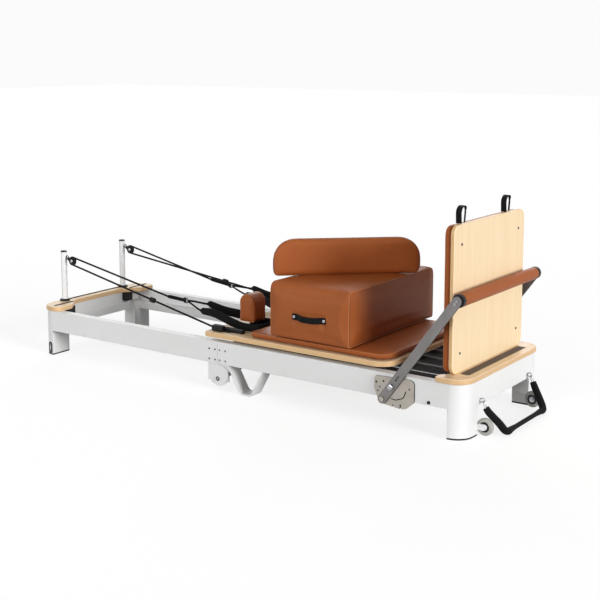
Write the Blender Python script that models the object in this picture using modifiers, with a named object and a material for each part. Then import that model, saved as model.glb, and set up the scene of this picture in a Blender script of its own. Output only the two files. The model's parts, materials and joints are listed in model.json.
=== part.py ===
# A folding pilates reformer in metres, +Z up. +X points to the foot end, -Y to the near side.
# Lengths along the frame are given as a distance from the foot end, heights from the floor.

import math

import bmesh
import bpy
from mathutils import Matrix, Vector

for old in list(bpy.data.objects):
    bpy.data.objects.remove(old, do_unlink=True)

partsCollection = bpy.data.collections.new("folding_pilates_reformer")
cutterCollection = bpy.data.collections.new("cutters")
bpy.context.scene.collection.children.link(partsCollection)
bpy.context.scene.collection.children.link(cutterCollection)

# Frame
frameLength = 2.285
frameWidth = 0.680
railTop = 0.216
railHeight = 0.097
railThick = 0.040
endRailThick = 0.036
cornerRadius = 0.070
legLength = 0.074
legWidth = 0.106
soleHeight = 0.006
boardOverhang = 0.006
boardThick = 0.022
trackStep = 0.030
trackTop = 0.160
tieWidth = 0.040
tieHeight = 0.030
tieFromSeam = 0.060
endLip = 0.004
clearance = 0.0003
touchGap = 0.0004

# Fold
seamFromFoot = 1.190
seamGap = 0.001
hingeHeight = 0.052
hingeSide = 0.0545
hingeBottom = 0.020
hingeSweep = 0.063
leafThick = 0.005
leafSkin = 0.0040
leafTop = 0.190
hingePinRadius = 0.006
hingePinHead = 0.003

# Foot platform and grip strip
platformInner = 0.100
platformTip = 0.128
hornWidth = 0.036
hornSlope = 0.030
stripFrom = 0.026
stripTo = 0.066
stripInset = 0.080
stripDepth = 0.002

# Jump board
jumpFace = 0.072
jumpPanelThick = 0.018
jumpPadThick = 0.031
jumpWidth = 0.614
jumpHeight = 0.575
jumpCorner = 0.036
pegRadius = 0.005
pegDepth = 0.016
pegSpacing = 0.400
loopWebWidth = 0.024
loopWebThick = 0.0026
loopSpan = 0.062
loopHeight = 0.066
loopNearPlace = 0.127
loopFarPlace = 0.515

# Footbar
pivotFromFoot = 0.353
pivotHeight = 0.113
armReach = 0.534
barClear = 0.01338
armWidth = 0.038
armThick = 0.008
bracketThick = 0.006
tubeRadius = 0.016
ringRadius = 0.0230
sleeveRadius = 0.0255
sleeveInset = 0.012
armBoltRadius = 0.0032
armBoltHead = 0.003
armBoltStep = 0.014
armSlotFrom = 0.102
armSlotTo = 0.128
armSlotWidth = 0.007
studRadius = 0.006
studHead = 0.004
lockPinRadius = 0.004
lockKnobLength = 0.014
lockSteps = (0.0, 34.8, 62.8)
bracketShape = (
    (0.040, 0.037),
    (0.039, 0.088),
    (-0.139, 0.094),
    (-0.139, 0.005),
    (-0.101, -0.027),
    (-0.071, -0.029),
    (-0.002, -0.021),
    (0.021, -0.007),
)
bracketRounds = (0.020, 0.010, 0.018, 0.010, 0.020, 0.010, 0.010, 0.010)
bracketSlot = ((-0.104, 0.045), (-0.091, 0.015), (-0.058, 0.003), (-0.036, 0.006))
bracketSlotWidth = 0.004
bracketHoleRadius = 0.0035
bracketNotches = ((-0.047, -0.017), (-0.079, -0.011))
bracketHoles = ((0.014, 0.045), (0.023, 0.029), (-0.118, 0.055))
lockDistance = 0.070
lockRadius = 0.0125

# Foot end fittings
wheelRadius = 0.034
wheelCentreHeight = 0.036
wheelWidth = 0.020
wheelReach = 0.027
wheelTabThick = 0.005
wheelTabHalf = 0.012
wheelAxle = 0.004
wheelGap = 0.0008
eyeHeight = 0.137
eyeSpacing = 0.430
eyeReach = 0.012
eyeShank = 0.0030
handleReach = 0.0955
handleCornerInset = 0.170
handleLow = 0.0165
handleRadius = 0.0130
handleNeck = 0.0085
handleEndRadius = 0.0100
linkLength = 0.020
linkHalf = 0.0065
linkWire = 0.0019
linkDroop = 62.0

# Fold latch
latchInset = 0.100
latchRodRadius = 0.0038
latchKnobRadius = 0.0135
latchKnobLength = 0.024
latchKnobHeight = 0.077
latchKnobFromSeam = 0.039

# Middle feet
middleFromSeam = 0.053
middleLength = 0.191
middleSlope = 0.071
middleSole = 0.056
middleWidth = 0.066
middleThick = 0.007
middleBend = 0.022

# Carriage
carriageLift = 0.014
carriageLength = 0.927
carriageFootEdge = 0.338
carriageBoardThick = 0.022
carriageInset = 0.003
carriageCorner = 0.075
cushionFromHead = 0.235
cushionFromFoot = 0.010
cushionInset = 0.026
cushionThick = 0.030
cushionCorner = 0.060
rollerRadius = 0.0235
rollerWidth = 0.018
rollerInset = 0.0145
rollerAxle = 0.004
rollerFromFoot = 0.112
rollerFromHead = 0.145
beamInset = 0.0745
beamWidth = 0.020
beamHeight = 0.054
beamPast = 0.040
barHalf = 0.015
barDepth = 0.018
hookBarHalf = 0.010
hookBarFromFoot = 0.282
springBarPlace = 0.112
springBarHalf = 0.012
springBarHeight = 0.040
springBite = 0.008
springCount = 5
springSpacing = 0.110
springHeight = 0.190
springRadius = 0.0135
springWire = 0.0022
springCurls = 6
springPoints = 8

# Shoulder rests
restHalf = 0.040
restNearEdge = 0.120
restWidth = 0.098
restStand = 0.034
restHeight = 0.125
restFromCushion = 0.096
stemRadius = 0.007
bossRadius = 0.013
baseThick = 0.008
baseHeadReach = 0.044
baseFootReach = 0.074
baseWidth = 0.118
barHeadReach = 0.070
barFootReach = 0.034
barInset = 0.048
barWidth = 0.022
barHeight = 0.015
webHeadReach = 0.064
webFromStem = 0.024
webHeight = 0.003
stemBite = 0.029

# Sitting box and panel cushion
boxDepth = 0.395
boxFootSide = 0.508
boxLength = 0.698
boxHeight = 0.240
boxNearEdge = -0.008
boxEdge = 0.034
boxDrawn = 0.001
handleFromFootSide = 0.128
handleSpan = 0.134
handleStandOff = 0.016
handleBandThick = 0.003
handleBandHalf = 0.013
boxHandleRise = 0.1012
panelLength = 0.620
panelHeight = 0.153
panelThick = 0.044
panelTurn = 41.6
panelNearX = 0.939
panelNearY = 0.080
panelRound = 0.058

# Head end
postInset = 0.020
postSpacing = 0.406
postRadius = 0.0145
postTop = 0.486
clampSize = 0.044
clampDepth = 0.032
headBridge = 0.047
headReach = 0.115
headArmWidth = 0.150
headGrooveInset = 0.013
headGrooveHalf = 0.004
headSlotFromEnd = 0.072
headSlotHalf = 0.0035
headSlotInset = 0.079
headSlotReach = 0.062
headSlotDepth = 0.010
eyeRingRadius = 0.0085
eyeRingSides = 8
eyeWire = 0.0022
hookDrop = 0.031
sheaveRadius = 0.0185
hookReach = 0.010
blockBridge = 0.0050
blockBite = 0.0015
sheaveGap = 0.0008
swivelSpan = 0.00141
blockDroop = 22.0
blockHalfHeight = 0.0060
cheekRadius = 0.0130
axleRadius = 0.0030
swivelHalf = 0.0055
swivelWire = 0.0013
blockCheek = 0.0022
ropeRadius = 0.0031
collarRadius = 0.025
collarHeight = 0.009
toggleFromCleat = 0.390
toggleLength = 0.030
toggleSize = 2.4
cleatFromStem = 0.056
cleatLength = 0.058
cleatInset = 0.035
cleatHeight = 0.028
cleatHalf = 0.015
ropeCleatRise = 0.016

# Hand straps
leadNear = 0.109
strapNearRise = 0.090
slackNear = 0.107
buckleNearRise = 0.084
openNear = 0.207
leadFar = 0.127
strapFarRise = 0.094
slackFar = 0.124
buckleFarRise = 0.078
openFar = 0.253
leadHalf = 0.0080
leadThick = 0.0040
buckleSize = 0.026
buckleThick = 0.012
loopStartRise = 0.063
webThick = 0.0030
padThick = 0.0075
loopHalf = 0.0145
wrapHalf = 0.0150
wrapRise = 0.0215
strapClear = 0.0065
wrapGap = 0.0115

# Places that follow from the sizes above
halfWidth = frameWidth / 2
handleOut = handleReach + handleRadius
footEndX = (frameLength + boardOverhang + handleOut) / 2 - handleOut
headEndX = footEndX - frameLength
seamX = footEndX - seamFromFoot
railBottom = railTop - railHeight
boardBase = railTop + touchGap
boardTop = boardBase + boardThick
trackEdge = railThick + trackStep
carriageBase = railTop + carriageLift
carriageTop = carriageBase + carriageBoardThick
carriageHeadEdge = carriageFootEdge + carriageLength
cushionHeadEdge = carriageHeadEdge - cushionFromHead
cushionFootEdge = carriageFootEdge + cushionFromFoot
cushionBase = carriageTop + touchGap
cushionTop = cushionBase + cushionThick
rollerFootPlace = carriageFootEdge + rollerFromFoot
rollerHeadPlace = carriageHeadEdge - rollerFromHead
hookBarPlace = carriageFootEdge + hookBarFromFoot
restStemPlace = cushionHeadEdge + restFromCushion
restHeadEdge = restStemPlace + restHalf
restFootEdge = restStemPlace - restHalf
restBottom = carriageTop + restStand
baseHeadEdge = restStemPlace + baseHeadReach
baseFootEdge = restStemPlace - baseFootReach
cleatFootEdge = restStemPlace + cleatFromStem
cleatHeadEdge = cleatFootEdge + cleatLength
postFromFoot = frameLength - postInset
hookHeight = postTop - hookDrop


def fromFoot(distance):
    """X of a place given as its distance from the foot end."""
    return footEndX - distance


def fromNear(distance):
    """Y of a place given as its distance from the near rail's outer face."""
    return -halfWidth + distance


def material(name, colour, roughness, metallic=0.0):
    """A Principled material with a flat colour."""
    made = bpy.data.materials.new(name)
    made.use_nodes = True
    shader = made.node_tree.nodes["Principled BSDF"]
    shader.inputs["Base Color"].default_value = (*colour, 1.0)
    shader.inputs["Roughness"].default_value = roughness
    shader.inputs["Metallic"].default_value = metallic
    return made


palette = {
    "whiteCoat": ((0.76, 0.77, 0.76), 0.38, 0.0),
    "maple": ((0.85, 0.66, 0.42), 0.45, 0.0),
    "leather": ((0.30, 0.105, 0.040), 0.42, 0.0),
    "armGrey": ((0.21, 0.20, 0.195), 0.38, 0.6),
    "stainless": ((0.46, 0.43, 0.40), 0.32, 0.9),
    "chrome": ((0.72, 0.72, 0.72), 0.15, 1.0),
    "blackSteel": ((0.016, 0.016, 0.016), 0.42, 0.4),
    "blackPlastic": ((0.014, 0.014, 0.014), 0.50, 0.0),
    "webbing": ((0.010, 0.010, 0.010), 0.85, 0.0),
    "rubber": ((0.018, 0.018, 0.018), 0.80, 0.0),
    "gripStrip": ((0.085, 0.052, 0.030), 0.80, 0.0),
    "tyreGrey": ((0.42, 0.42, 0.42), 0.55, 0.0),
}


def finish(obj, name, look, origin=None):
    """Names a piece, gives it its own material and puts its origin on a chosen point."""
    colour, roughness, metallic = palette[look]
    for holder in list(obj.users_collection):
        holder.objects.unlink(obj)
    partsCollection.objects.link(obj)
    obj.name = name
    obj.data.name = name
    obj.data.materials.clear()
    obj.data.materials.append(material(name, colour, roughness, metallic))
    if origin is not None:
        place = Vector(origin)
        obj.data.transform(Matrix.Translation(-place))
        obj.location = place
    return obj


def faceOutwards(body):
    """Turns the faces of a closed mesh so that they all look out."""
    bmesh.ops.recalc_face_normals(body, faces=body.faces)
    if body.calc_volume(signed=True) < 0.0:
        bmesh.ops.reverse_faces(body, faces=body.faces)


def meshObject(name, build):
    """An object whose mesh the given function fills."""
    mesh = bpy.data.meshes.new(name)
    body = bmesh.new()
    build(body)
    faceOutwards(body)
    body.to_mesh(mesh)
    body.free()
    obj = bpy.data.objects.new(name, mesh)
    cutterCollection.objects.link(obj)
    return obj


def box(low, high, bevel=0.0, segments=2):
    """A box between two corners, with its edges rounded if a bevel is given."""
    size = Vector(high) - Vector(low)
    centre = (Vector(high) + Vector(low)) / 2

    def build(body):
        bmesh.ops.create_cube(body, size=1.0)
        bmesh.ops.scale(body, vec=size, verts=body.verts)
        if bevel > 0.0:
            bmesh.ops.bevel(
                body, geom=body.edges, offset=bevel, segments=segments, profile=0.5, affect="EDGES"
            )
        bmesh.ops.translate(body, vec=centre, verts=body.verts)

    return meshObject("box", build)


def cylinder(centre, radius, length, axis, sides=24, chamfer=0.0, topRadius=None):
    """A round bar along an axis, centred on a point."""
    turn = Vector((0, 0, 1)).rotation_difference(Vector(axis)).to_matrix().to_4x4()
    second = radius if topRadius is None else topRadius

    def build(body):
        bmesh.ops.create_cone(
            body, cap_ends=True, segments=sides, radius1=radius, radius2=second, depth=length
        )
        if chamfer > 0.0:
            rims = [e for e in body.edges if any(len(f.verts) > 4 for f in e.link_faces)]
            bmesh.ops.bevel(body, geom=rims, offset=chamfer, segments=1, affect="EDGES")
        bmesh.ops.transform(body, matrix=Matrix.Translation(Vector(centre)) @ turn, verts=body.verts)

    obj = meshObject("cylinder", build)
    obj.data.shade_smooth()
    obj.data.set_sharp_from_angle(angle=math.radians(35))
    return obj


def rounded(corners, radii, steps=5):
    """A closed outline with each of its corners turned into an arc."""
    count = len(corners)
    sizes = radii if isinstance(radii, (list, tuple)) else [radii] * count
    outline = []
    for index, size in enumerate(sizes):
        here = Vector(corners[index])
        before = (Vector(corners[index - 1]) - here).normalized()
        after = (Vector(corners[(index + 1) % count]) - here).normalized()
        if size <= 0.0:
            outline.append(tuple(here))
            continue
        half = before.angle(after) / 2
        reach = size / math.tan(half)
        start = here + before * reach
        end = here + after * reach
        centre = here + (before + after).normalized() * (size / math.sin(half))
        first = start - centre
        sweep = first.angle_signed(end - centre)
        for step in range(steps + 1):
            turn = Matrix.Rotation(-sweep * step / steps, 2)
            outline.append(tuple(centre + turn @ first))
    return outline


def plate(outline, plane, low, high, bevel=0.0):
    """A flat outline drawn in one plane and given a thickness across it."""
    curve = bpy.data.curves.new("outline", "CURVE")
    curve.dimensions = "2D"
    curve.fill_mode = "BOTH"
    curve.extrude = (high - low) / 2
    spline = curve.splines.new("POLY")
    spline.points.add(len(outline) - 1)
    for point, (first, second) in zip(spline.points, outline):
        point.co = (first, second, 0.0, 1.0)
    spline.use_cyclic_u = True
    middle = (high + low) / 2
    turns = {
        "XY": Matrix(((1, 0, 0, 0), (0, 1, 0, 0), (0, 0, 1, middle), (0, 0, 0, 1))),
        "XZ": Matrix(((1, 0, 0, 0), (0, 0, 1, middle), (0, 1, 0, 0), (0, 0, 0, 1))),
        "YZ": Matrix(((0, 0, 1, middle), (1, 0, 0, 0), (0, 1, 0, 0), (0, 0, 0, 1))),
    }
    obj = curveToMesh(curve, turns[plane])
    if bevel > 0.0:
        body = bmesh.new()
        body.from_mesh(obj.data)
        bmesh.ops.dissolve_limit(
            body, angle_limit=math.radians(1), verts=body.verts, edges=body.edges
        )
        rims = [e for e in body.edges if any(len(f.verts) > 4 for f in e.link_faces)]
        bmesh.ops.bevel(body, geom=rims, offset=bevel, segments=1, affect="EDGES")
        body.to_mesh(obj.data)
        body.free()
    obj.data.shade_smooth()
    obj.data.set_sharp_from_angle(angle=math.radians(35))
    return obj


def curveToMesh(curve, matrix=None):
    """A curve as a closed mesh, moved by a matrix."""
    source = bpy.data.objects.new("curve", curve)
    cutterCollection.objects.link(source)
    graph = bpy.context.evaluated_depsgraph_get()
    mesh = bpy.data.meshes.new_from_object(source.evaluated_get(graph))
    bpy.data.objects.remove(source, do_unlink=True)
    body = bmesh.new()
    body.from_mesh(mesh)
    bmesh.ops.remove_doubles(body, verts=body.verts, dist=0.00001)
    if matrix is not None:
        bmesh.ops.transform(body, matrix=matrix, verts=body.verts)
    faceOutwards(body)
    body.to_mesh(mesh)
    body.free()
    obj = bpy.data.objects.new("piece", mesh)
    cutterCollection.objects.link(obj)
    return obj


def tube(points, radius, resolution=2, radii=None, cyclic=False):
    """A round tube along a route of points. radii scales it at each point."""
    curve = bpy.data.curves.new("route", "CURVE")
    curve.dimensions = "3D"
    curve.bevel_depth = radius
    curve.bevel_resolution = resolution
    curve.use_fill_caps = not cyclic
    spline = curve.splines.new("POLY")
    spline.points.add(len(points) - 1)
    for index, place in enumerate(points):
        spline.points[index].co = (*place, 1.0)
        spline.points[index].radius = 1.0 if radii is None else radii[index]
    spline.use_cyclic_u = cyclic
    obj = curveToMesh(curve)
    obj.data.shade_smooth()
    obj.data.set_sharp_from_angle(angle=math.radians(50))
    return obj


def combine(target, others, operation="UNION"):
    """Joins pieces to a target, or cuts them out of it."""
    for other in others:
        change = target.modifiers.new("join", "BOOLEAN")
        change.operation = operation
        change.solver = "EXACT"
        change.object = other
        graph = bpy.context.evaluated_depsgraph_get()
        mesh = bpy.data.meshes.new_from_object(target.evaluated_get(graph))
        target.modifiers.remove(change)
        target.data = mesh
        bpy.data.objects.remove(other, do_unlink=True)
    body = bmesh.new()
    body.from_mesh(target.data)
    bmesh.ops.remove_doubles(body, verts=body.verts, dist=0.00002)
    body.to_mesh(target.data)
    body.free()
    target.data.shade_smooth()
    target.data.set_sharp_from_angle(angle=math.radians(35))
    return target


def loft(sections):
    """A closed skin through sections that have the same number of points, flat at both ends."""

    def build(body):
        rings = [[body.verts.new(point) for point in section] for section in sections]
        count = len(rings[0])
        for lower, upper in zip(rings, rings[1:]):
            for index in range(count):
                after = (index + 1) % count
                body.faces.new((lower[index], lower[after], upper[after], upper[index]))
        body.faces.new(rings[0])
        body.faces.new(rings[-1])

    obj = meshObject("loft", build)
    obj.data.shade_smooth()
    obj.data.set_sharp_from_angle(angle=math.radians(60))
    return obj


def shrunk(outline, inset):
    """An outline moved inwards by the same amount all round."""
    count = len(outline)
    middle = Vector((sum(p[0] for p in outline) / count, sum(p[1] for p in outline) / count))
    moved = []
    for index, point in enumerate(outline):
        ahead = Vector(outline[(index + 1) % count]) - Vector(outline[index - 1])
        side = Vector((-ahead.y, ahead.x)).normalized()
        here = Vector(point)
        if side.dot(middle - here) < 0:
            side = -side
        moved.append(tuple(here + side * inset))
    return moved


def cushion(outline, depth, place, roundness=0.008, crown=0.004, drawn=0.0015):
    """A padded block: rounded rims, sides drawn in at mid height and a crown on both faces.

    place turns an outline point and a depth into a point in space."""
    count = len(outline)
    middle = Vector((sum(p[0] for p in outline) / count, sum(p[1] for p in outline) / count))
    half = depth / 2
    flat = half - crown
    profile = [
        (flat, 0.0, 0.35),
        (flat, 0.0, 0.80),
        (flat - 0.001, roundness * 1.1, 1.0),
        (flat - roundness * 0.35, roundness * 0.30, 1.0),
        (flat - roundness, 0.0, 1.0),
    ]
    heights = [half, half - crown * 0.35]
    rings = []
    for index, (level, inset, scale) in enumerate(profile):
        level = heights[index] if index < len(heights) else level
        section = shrunk(outline, inset) if scale == 1.0 else outline
        rings.append([(middle + (Vector(p) - middle) * scale, level) for p in section])
    waist = [(Vector(p), 0.0) for p in shrunk(outline, drawn)]
    lower = [[(p, -level) for p, level in ring] for ring in reversed(rings)]
    sections = rings + [waist] + lower
    return loft([[place(p.x, p.y, level) for p, level in section] for section in sections])


def frameOutline(inset, footward):
    """Half of the frame's outer shape in plan, from the seam round one end to the seam."""
    side = halfWidth - inset
    end = footEndX - inset if footward else headEndX + inset
    seam = seamX + seamGap / 2 if footward else seamX - seamGap / 2
    radius = max(cornerRadius - inset, 0.004)
    corners = [(seam, -side), (end, -side), (end, side), (seam, side)]
    return rounded(corners, [0.0, radius, radius, 0.0], 5)


def interiorOutline(start, end, inset, footward):
    """The inside of a frame half in plan, stepping round its two corner legs."""
    way = 1 if footward else -1
    side = halfWidth - inset
    leg = (footEndX if footward else headEndX) - way * legLength
    legSide = halfWidth - legWidth
    return [
        (start, -side),
        (leg, -side),
        (leg, -legSide),
        (end, -legSide),
        (end, legSide),
        (leg, legSide),
        (leg, side),
        (start, side),
    ]


def halfFrame(footward):
    """One half of the frame: side rails with their track steps, end rail, corner legs and tie."""
    way = 1 if footward else -1
    end = footEndX if footward else headEndX
    seam = seamX + way * seamGap / 2
    inner = end - way * endRailThick
    leg = end - way * legLength
    past = seam - way * 0.05
    beyond = end + way * 0.05
    shell = plate(frameOutline(0.0, footward), "XY", soleHeight + touchGap, railTop)
    rails = halfWidth - railThick
    legSide = halfWidth - legWidth
    lip = inner - way * endLip
    lower = interiorOutline(past, lip, trackEdge, footward)
    cuts = [
        box((min(past, inner), -rails, trackTop), (max(past, inner), rails, railTop + 0.02)),
        plate(lower, "XY", 0.0, trackTop + 0.004),
        box((min(past, leg), -0.5, -0.01), (max(past, leg), 0.5, railBottom)),
        box((min(leg, beyond), -legSide, -0.01), (max(leg, beyond), legSide, railBottom)),
    ]
    shell = combine(shell, cuts, "DIFFERENCE")
    tie = seam + way * tieFromSeam
    tieBottom = railBottom + 0.001
    bridge = box(
        (min(tie, tie + way * tieWidth), -halfWidth + trackEdge - 0.004, tieBottom),
        (max(tie, tie + way * tieWidth), halfWidth - trackEdge + 0.004, tieBottom + tieHeight),
    )
    shell = combine(shell, [bridge])
    slots = []
    for side in (-1, 1):
        # the open groove that runs up the inner corner of each leg
        grooveY = side * (legSide + 0.007)
        slots.append(
            box(
                (min(leg - way * 0.004, leg + way * 0.004), grooveY - 0.002, 0.0),
                (max(leg - way * 0.004, leg + way * 0.004), grooveY + 0.002, railBottom - 0.004),
            )
        )
        # the pocket that takes a hinge leaf
        outer = halfWidth - leafOffset(footward) + clearance
        inward = outer - leafThick - 2 * clearance
        reach = seam + way * (hingeSide + clearance)
        slots.append(
            box(
                (min(seam - way * 0.01, reach), min(side * outer, side * inward), railBottom - 0.01),
                (max(seam - way * 0.01, reach), max(side * outer, side * inward), leafTop + clearance),
            )
        )
    return shell, slots


def leafOffset(footward):
    """How far a hinge leaf lies behind the rail's outer face."""
    return leafSkin + (leafThick + clearance if footward else 0.0)


def circle(centre, radius, count=28):
    return [
        (
            centre[0] + radius * math.cos(2 * math.pi * step / count),
            centre[1] + radius * math.sin(2 * math.pi * step / count),
        )
        for step in range(count)
    ]


def hingeLeaf(side, footward):
    """One plate of the fold hinge: an upright in its rail's pocket and a rounded lobe below.

    The foot leaf carries the pin, which passes through the head leaf to a flat head outside it."""
    way = 1 if footward else -1
    outer = side * (halfWidth - leafOffset(footward))
    inner = outer - side * leafThick
    low, high = min(outer, inner), max(outer, inner)
    lobeHeight = hingeBottom + hingeSide
    start = seamX + way * (seamGap / 2 + touchGap)
    upright = [
        (start, hingeHeight - 0.01),
        (seamX + way * hingeSide, hingeHeight - 0.01),
        (seamX + way * hingeSide, leafTop),
        (start, leafTop),
    ]
    lobe = plate(circle((seamX, lobeHeight), hingeSide, 18), "XZ", low, high)
    sweep = plate(circle((seamX, hingeHeight), hingeSweep, 18), "XZ", low - 0.01, high + 0.01)
    leaf = combine(lobe, [sweep], "INTERSECT")
    leaf = combine(leaf, [plate(upright, "XZ", low, high)])
    if not footward:
        bore = cylinder(
            (seamX, (low + high) / 2, hingeHeight), hingePinRadius + clearance, 0.05, (0, 1, 0), 12
        )
        return combine(leaf, [bore], "DIFFERENCE")
    headInner = side * (halfWidth - leafSkin + clearance)
    headOuter = headInner + side * hingePinHead
    headMiddle = (headInner + headOuter) / 2
    pinStart = side * (halfWidth - leafOffset(True) - leafThick / 2)
    shank = cylinder(
        (seamX, (pinStart + headMiddle) / 2, hingeHeight),
        hingePinRadius,
        abs(headMiddle - pinStart),
        (0, 1, 0),
        12,
    )
    head = cylinder(
        (seamX, headMiddle, hingeHeight), hingePinRadius * 1.5, hingePinHead, (0, 1, 0), 12
    )
    shank = combine(shank, [head])
    return combine(leaf, [shank])


def sole(side, footward):
    """The rubber shoe under a leg, as wide as the leg."""
    way = 1 if footward else -1
    end = footEndX if footward else headEndX
    block = plate(frameOutline(0.0, footward), "XY", 0.0, soleHeight)
    edges = (side * (halfWidth - legWidth), side * 1.0)
    keep = box(
        (min(end + way * 0.05, end - way * legLength), min(edges), -0.1),
        (max(end + way * 0.05, end - way * legLength), max(edges), 0.3),
    )
    return combine(block, [keep], "INTERSECT")


def band(route, thick, levelEnds=False):
    """The outline of a strip of even thickness that follows a route in one plane."""
    points = [Vector(point) for point in route]
    left, right = [], []
    for index, here in enumerate(points):
        before = points[max(index - 1, 0)]
        after = points[min(index + 1, len(points) - 1)]
        along = (after - before).normalized()
        side = Vector((-along.y, along.x)) * thick / 2
        if levelEnds and index in (0, len(points) - 1):
            side = Vector((math.copysign(thick / 2 / abs(along.y), side.x), 0.0))
        left.append(tuple(here + side))
        right.append(tuple(here - side))
    return left + list(reversed(right))


def middleFoot(side):
    """A bent flat strap under a side rail that stands on the floor near the fold."""
    start = seamX + middleFromSeam
    corners = [
        (start, railBottom + 0.002),
        (start + middleSlope, middleThick / 2),
        (start + middleSlope + middleSole, middleThick / 2),
        (start + middleLength, railBottom + 0.002),
    ]
    route = rounded(corners, [0.0, middleBend, middleBend, 0.0], 5)
    edges = sorted((side * (halfWidth - 0.001), side * (halfWidth - middleWidth)))
    return plate(band(route, middleThick, True), "XZ", edges[0], edges[1])


def foldLatch():
    """A bent rod in an upright bore, with a knob that lies against the hinge leaf."""
    leafFace = -halfWidth + leafOffset(True) + leafThick
    knobX = seamX + latchKnobFromSeam
    knobY = leafFace + clearance + latchKnobLength / 2
    corners = [
        (latchX, latchY, railBottom + 0.010),
        (latchX, latchY, railBottom - 0.007),
        (latchX - 0.006, latchY - 0.002, railBottom - 0.011),
        (knobX + 0.010, latchY - 0.011, latchKnobHeight + 0.003),
        (knobX + 0.002, latchY - 0.016, latchKnobHeight),
        (knobX, latchY - 0.024, latchKnobHeight),
        (knobX, knobY, latchKnobHeight),
    ]
    rod = tube(corners, latchRodRadius, 2)
    knob = cylinder(
        (knobX, knobY, latchKnobHeight), latchKnobRadius, latchKnobLength, (0, 1, 0), 12, 0.003
    )
    return combine(rod, [knob])


def wheelTab(side):
    """A tab on the inboard face of a foot leg with the axle of a transport wheel."""
    tabInner = halfWidth - legWidth - wheelTabThick
    edges = sorted((side * tabInner, side * (halfWidth - legWidth + 0.002)))
    reach = footEndX + wheelReach
    corners = [
        (footEndX - 0.050, wheelCentreHeight - wheelTabHalf),
        (reach + wheelTabHalf, wheelCentreHeight - wheelTabHalf),
        (reach + wheelTabHalf, wheelCentreHeight + wheelTabHalf),
        (footEndX - 0.050, wheelCentreHeight + wheelTabHalf),
    ]
    radius = wheelTabHalf * 0.98
    tab = plate(rounded(corners, [0.002, radius, radius, 0.002], 6), "XZ", edges[0], edges[1])
    capInner = tabInner - wheelGap * 2 - wheelWidth
    capOuter = capInner - 0.0025
    middle = (tabInner + 0.001 + capOuter) / 2
    axle = cylinder(
        (reach, side * middle, wheelCentreHeight),
        wheelAxle,
        tabInner + 0.001 - capOuter,
        (0, 1, 0),
        16,
    )
    cap = cylinder(
        (reach, side * (capInner + capOuter) / 2, wheelCentreHeight),
        wheelAxle * 1.8,
        capInner - capOuter,
        (0, 1, 0),
        16,
    )
    return combine(tab, [combine(axle, [cap])])


print("frame halves")
footShell, footSlots = halfFrame(True)
headShell, headSlots = halfFrame(False)
postPlaces = [(fromFoot(postFromFoot), side * postSpacing / 2) for side in (-1, 1)]
postFoot = railBottom + 0.020
for placeX, placeY in postPlaces:
    headSlots.append(
        cylinder((placeX, placeY, postFoot + 0.1), postRadius + clearance, 0.2, (0, 0, 1), 20)
    )
latchX = seamX + tieFromSeam + tieWidth * 0.6
latchY = fromNear(latchInset)
footSlots.append(
    cylinder((latchX, latchY, railBottom), latchRodRadius + clearance, 0.024, (0, 0, 1), 16)
)
footAdds = []
for side in (-1, 1):
    footAdds.append(middleFoot(side))
    footAdds.append(wheelTab(side))
    footSlots.append(
        cylinder(
            (footEndX, side * eyeSpacing / 2, eyeHeight), eyeShank + clearance, 0.030, (1, 0, 0), 16
        )
    )
springBarX = fromFoot(springBarPlace)
footAdds.append(
    box(
        (springBarX - springBarHalf, -halfWidth + railThick - 0.003, springHeight - 0.024),
        (springBarX + springBarHalf, halfWidth - railThick + 0.003, springHeight - 0.024 + springBarHeight),
    )
)
springPlaces = [springSpacing * (index - (springCount - 1) / 2) for index in range(springCount)]
for place in springPlaces:
    footSlots.append(
        cylinder(
            (springBarX - springBarHalf, place, springHeight),
            springWire + clearance,
            springBite * 2,
            (1, 0, 0),
            10,
        )
    )
clampBlocks = []
for placeX, placeY in postPlaces:
    blockX = headEndX + endRailThick - 0.002
    clampBlocks.append(
        box(
            (blockX, placeY - clampSize / 2, boardBase - 0.001 - clampSize),
            (blockX + clampDepth, placeY + clampSize / 2, boardBase - 0.001),
        )
    )
footShell = combine(footShell, footAdds)
headShell = combine(headShell, clampBlocks)
finish(combine(footShell, footSlots, "DIFFERENCE"), "foot_frame_weldment", "whiteCoat")
finish(
    combine(headShell, headSlots, "DIFFERENCE"),
    "head_frame_weldment",
    "whiteCoat",
    (seamX, 0.0, hingeHeight),
)
for side, name in ((-1, "near"), (1, "far")):
    finish(sole(side, True), "foot_sole_" + name, "rubber")
    finish(sole(side, False), "head_sole_" + name, "rubber")
    finish(hingeLeaf(side, True), "hinge_leaf_foot_" + name, "whiteCoat")
    finish(hingeLeaf(side, False), "hinge_leaf_head_" + name, "whiteCoat")
finish(foldLatch(), "fold_latch", "blackPlastic", (latchX, latchY, railBottom))

print("platforms")


def platformOutline():
    """The foot platform in plan: a straight board with a short horn along each rail."""
    side = halfWidth + boardOverhang
    end = footEndX + boardOverhang
    corners = [
        (end, -side),
        (end, side),
        (fromFoot(platformTip), side),
        (fromFoot(platformTip), side - hornWidth),
        (fromFoot(platformInner), side - hornWidth - hornSlope),
        (fromFoot(platformInner), -side + hornWidth + hornSlope),
        (fromFoot(platformTip), -side + hornWidth),
        (fromFoot(platformTip), -side),
    ]
    big = cornerRadius + boardOverhang
    return rounded(corners, [big, big, 0.010, 0.012, 0.030, 0.030, 0.012, 0.010], 5)


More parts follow.
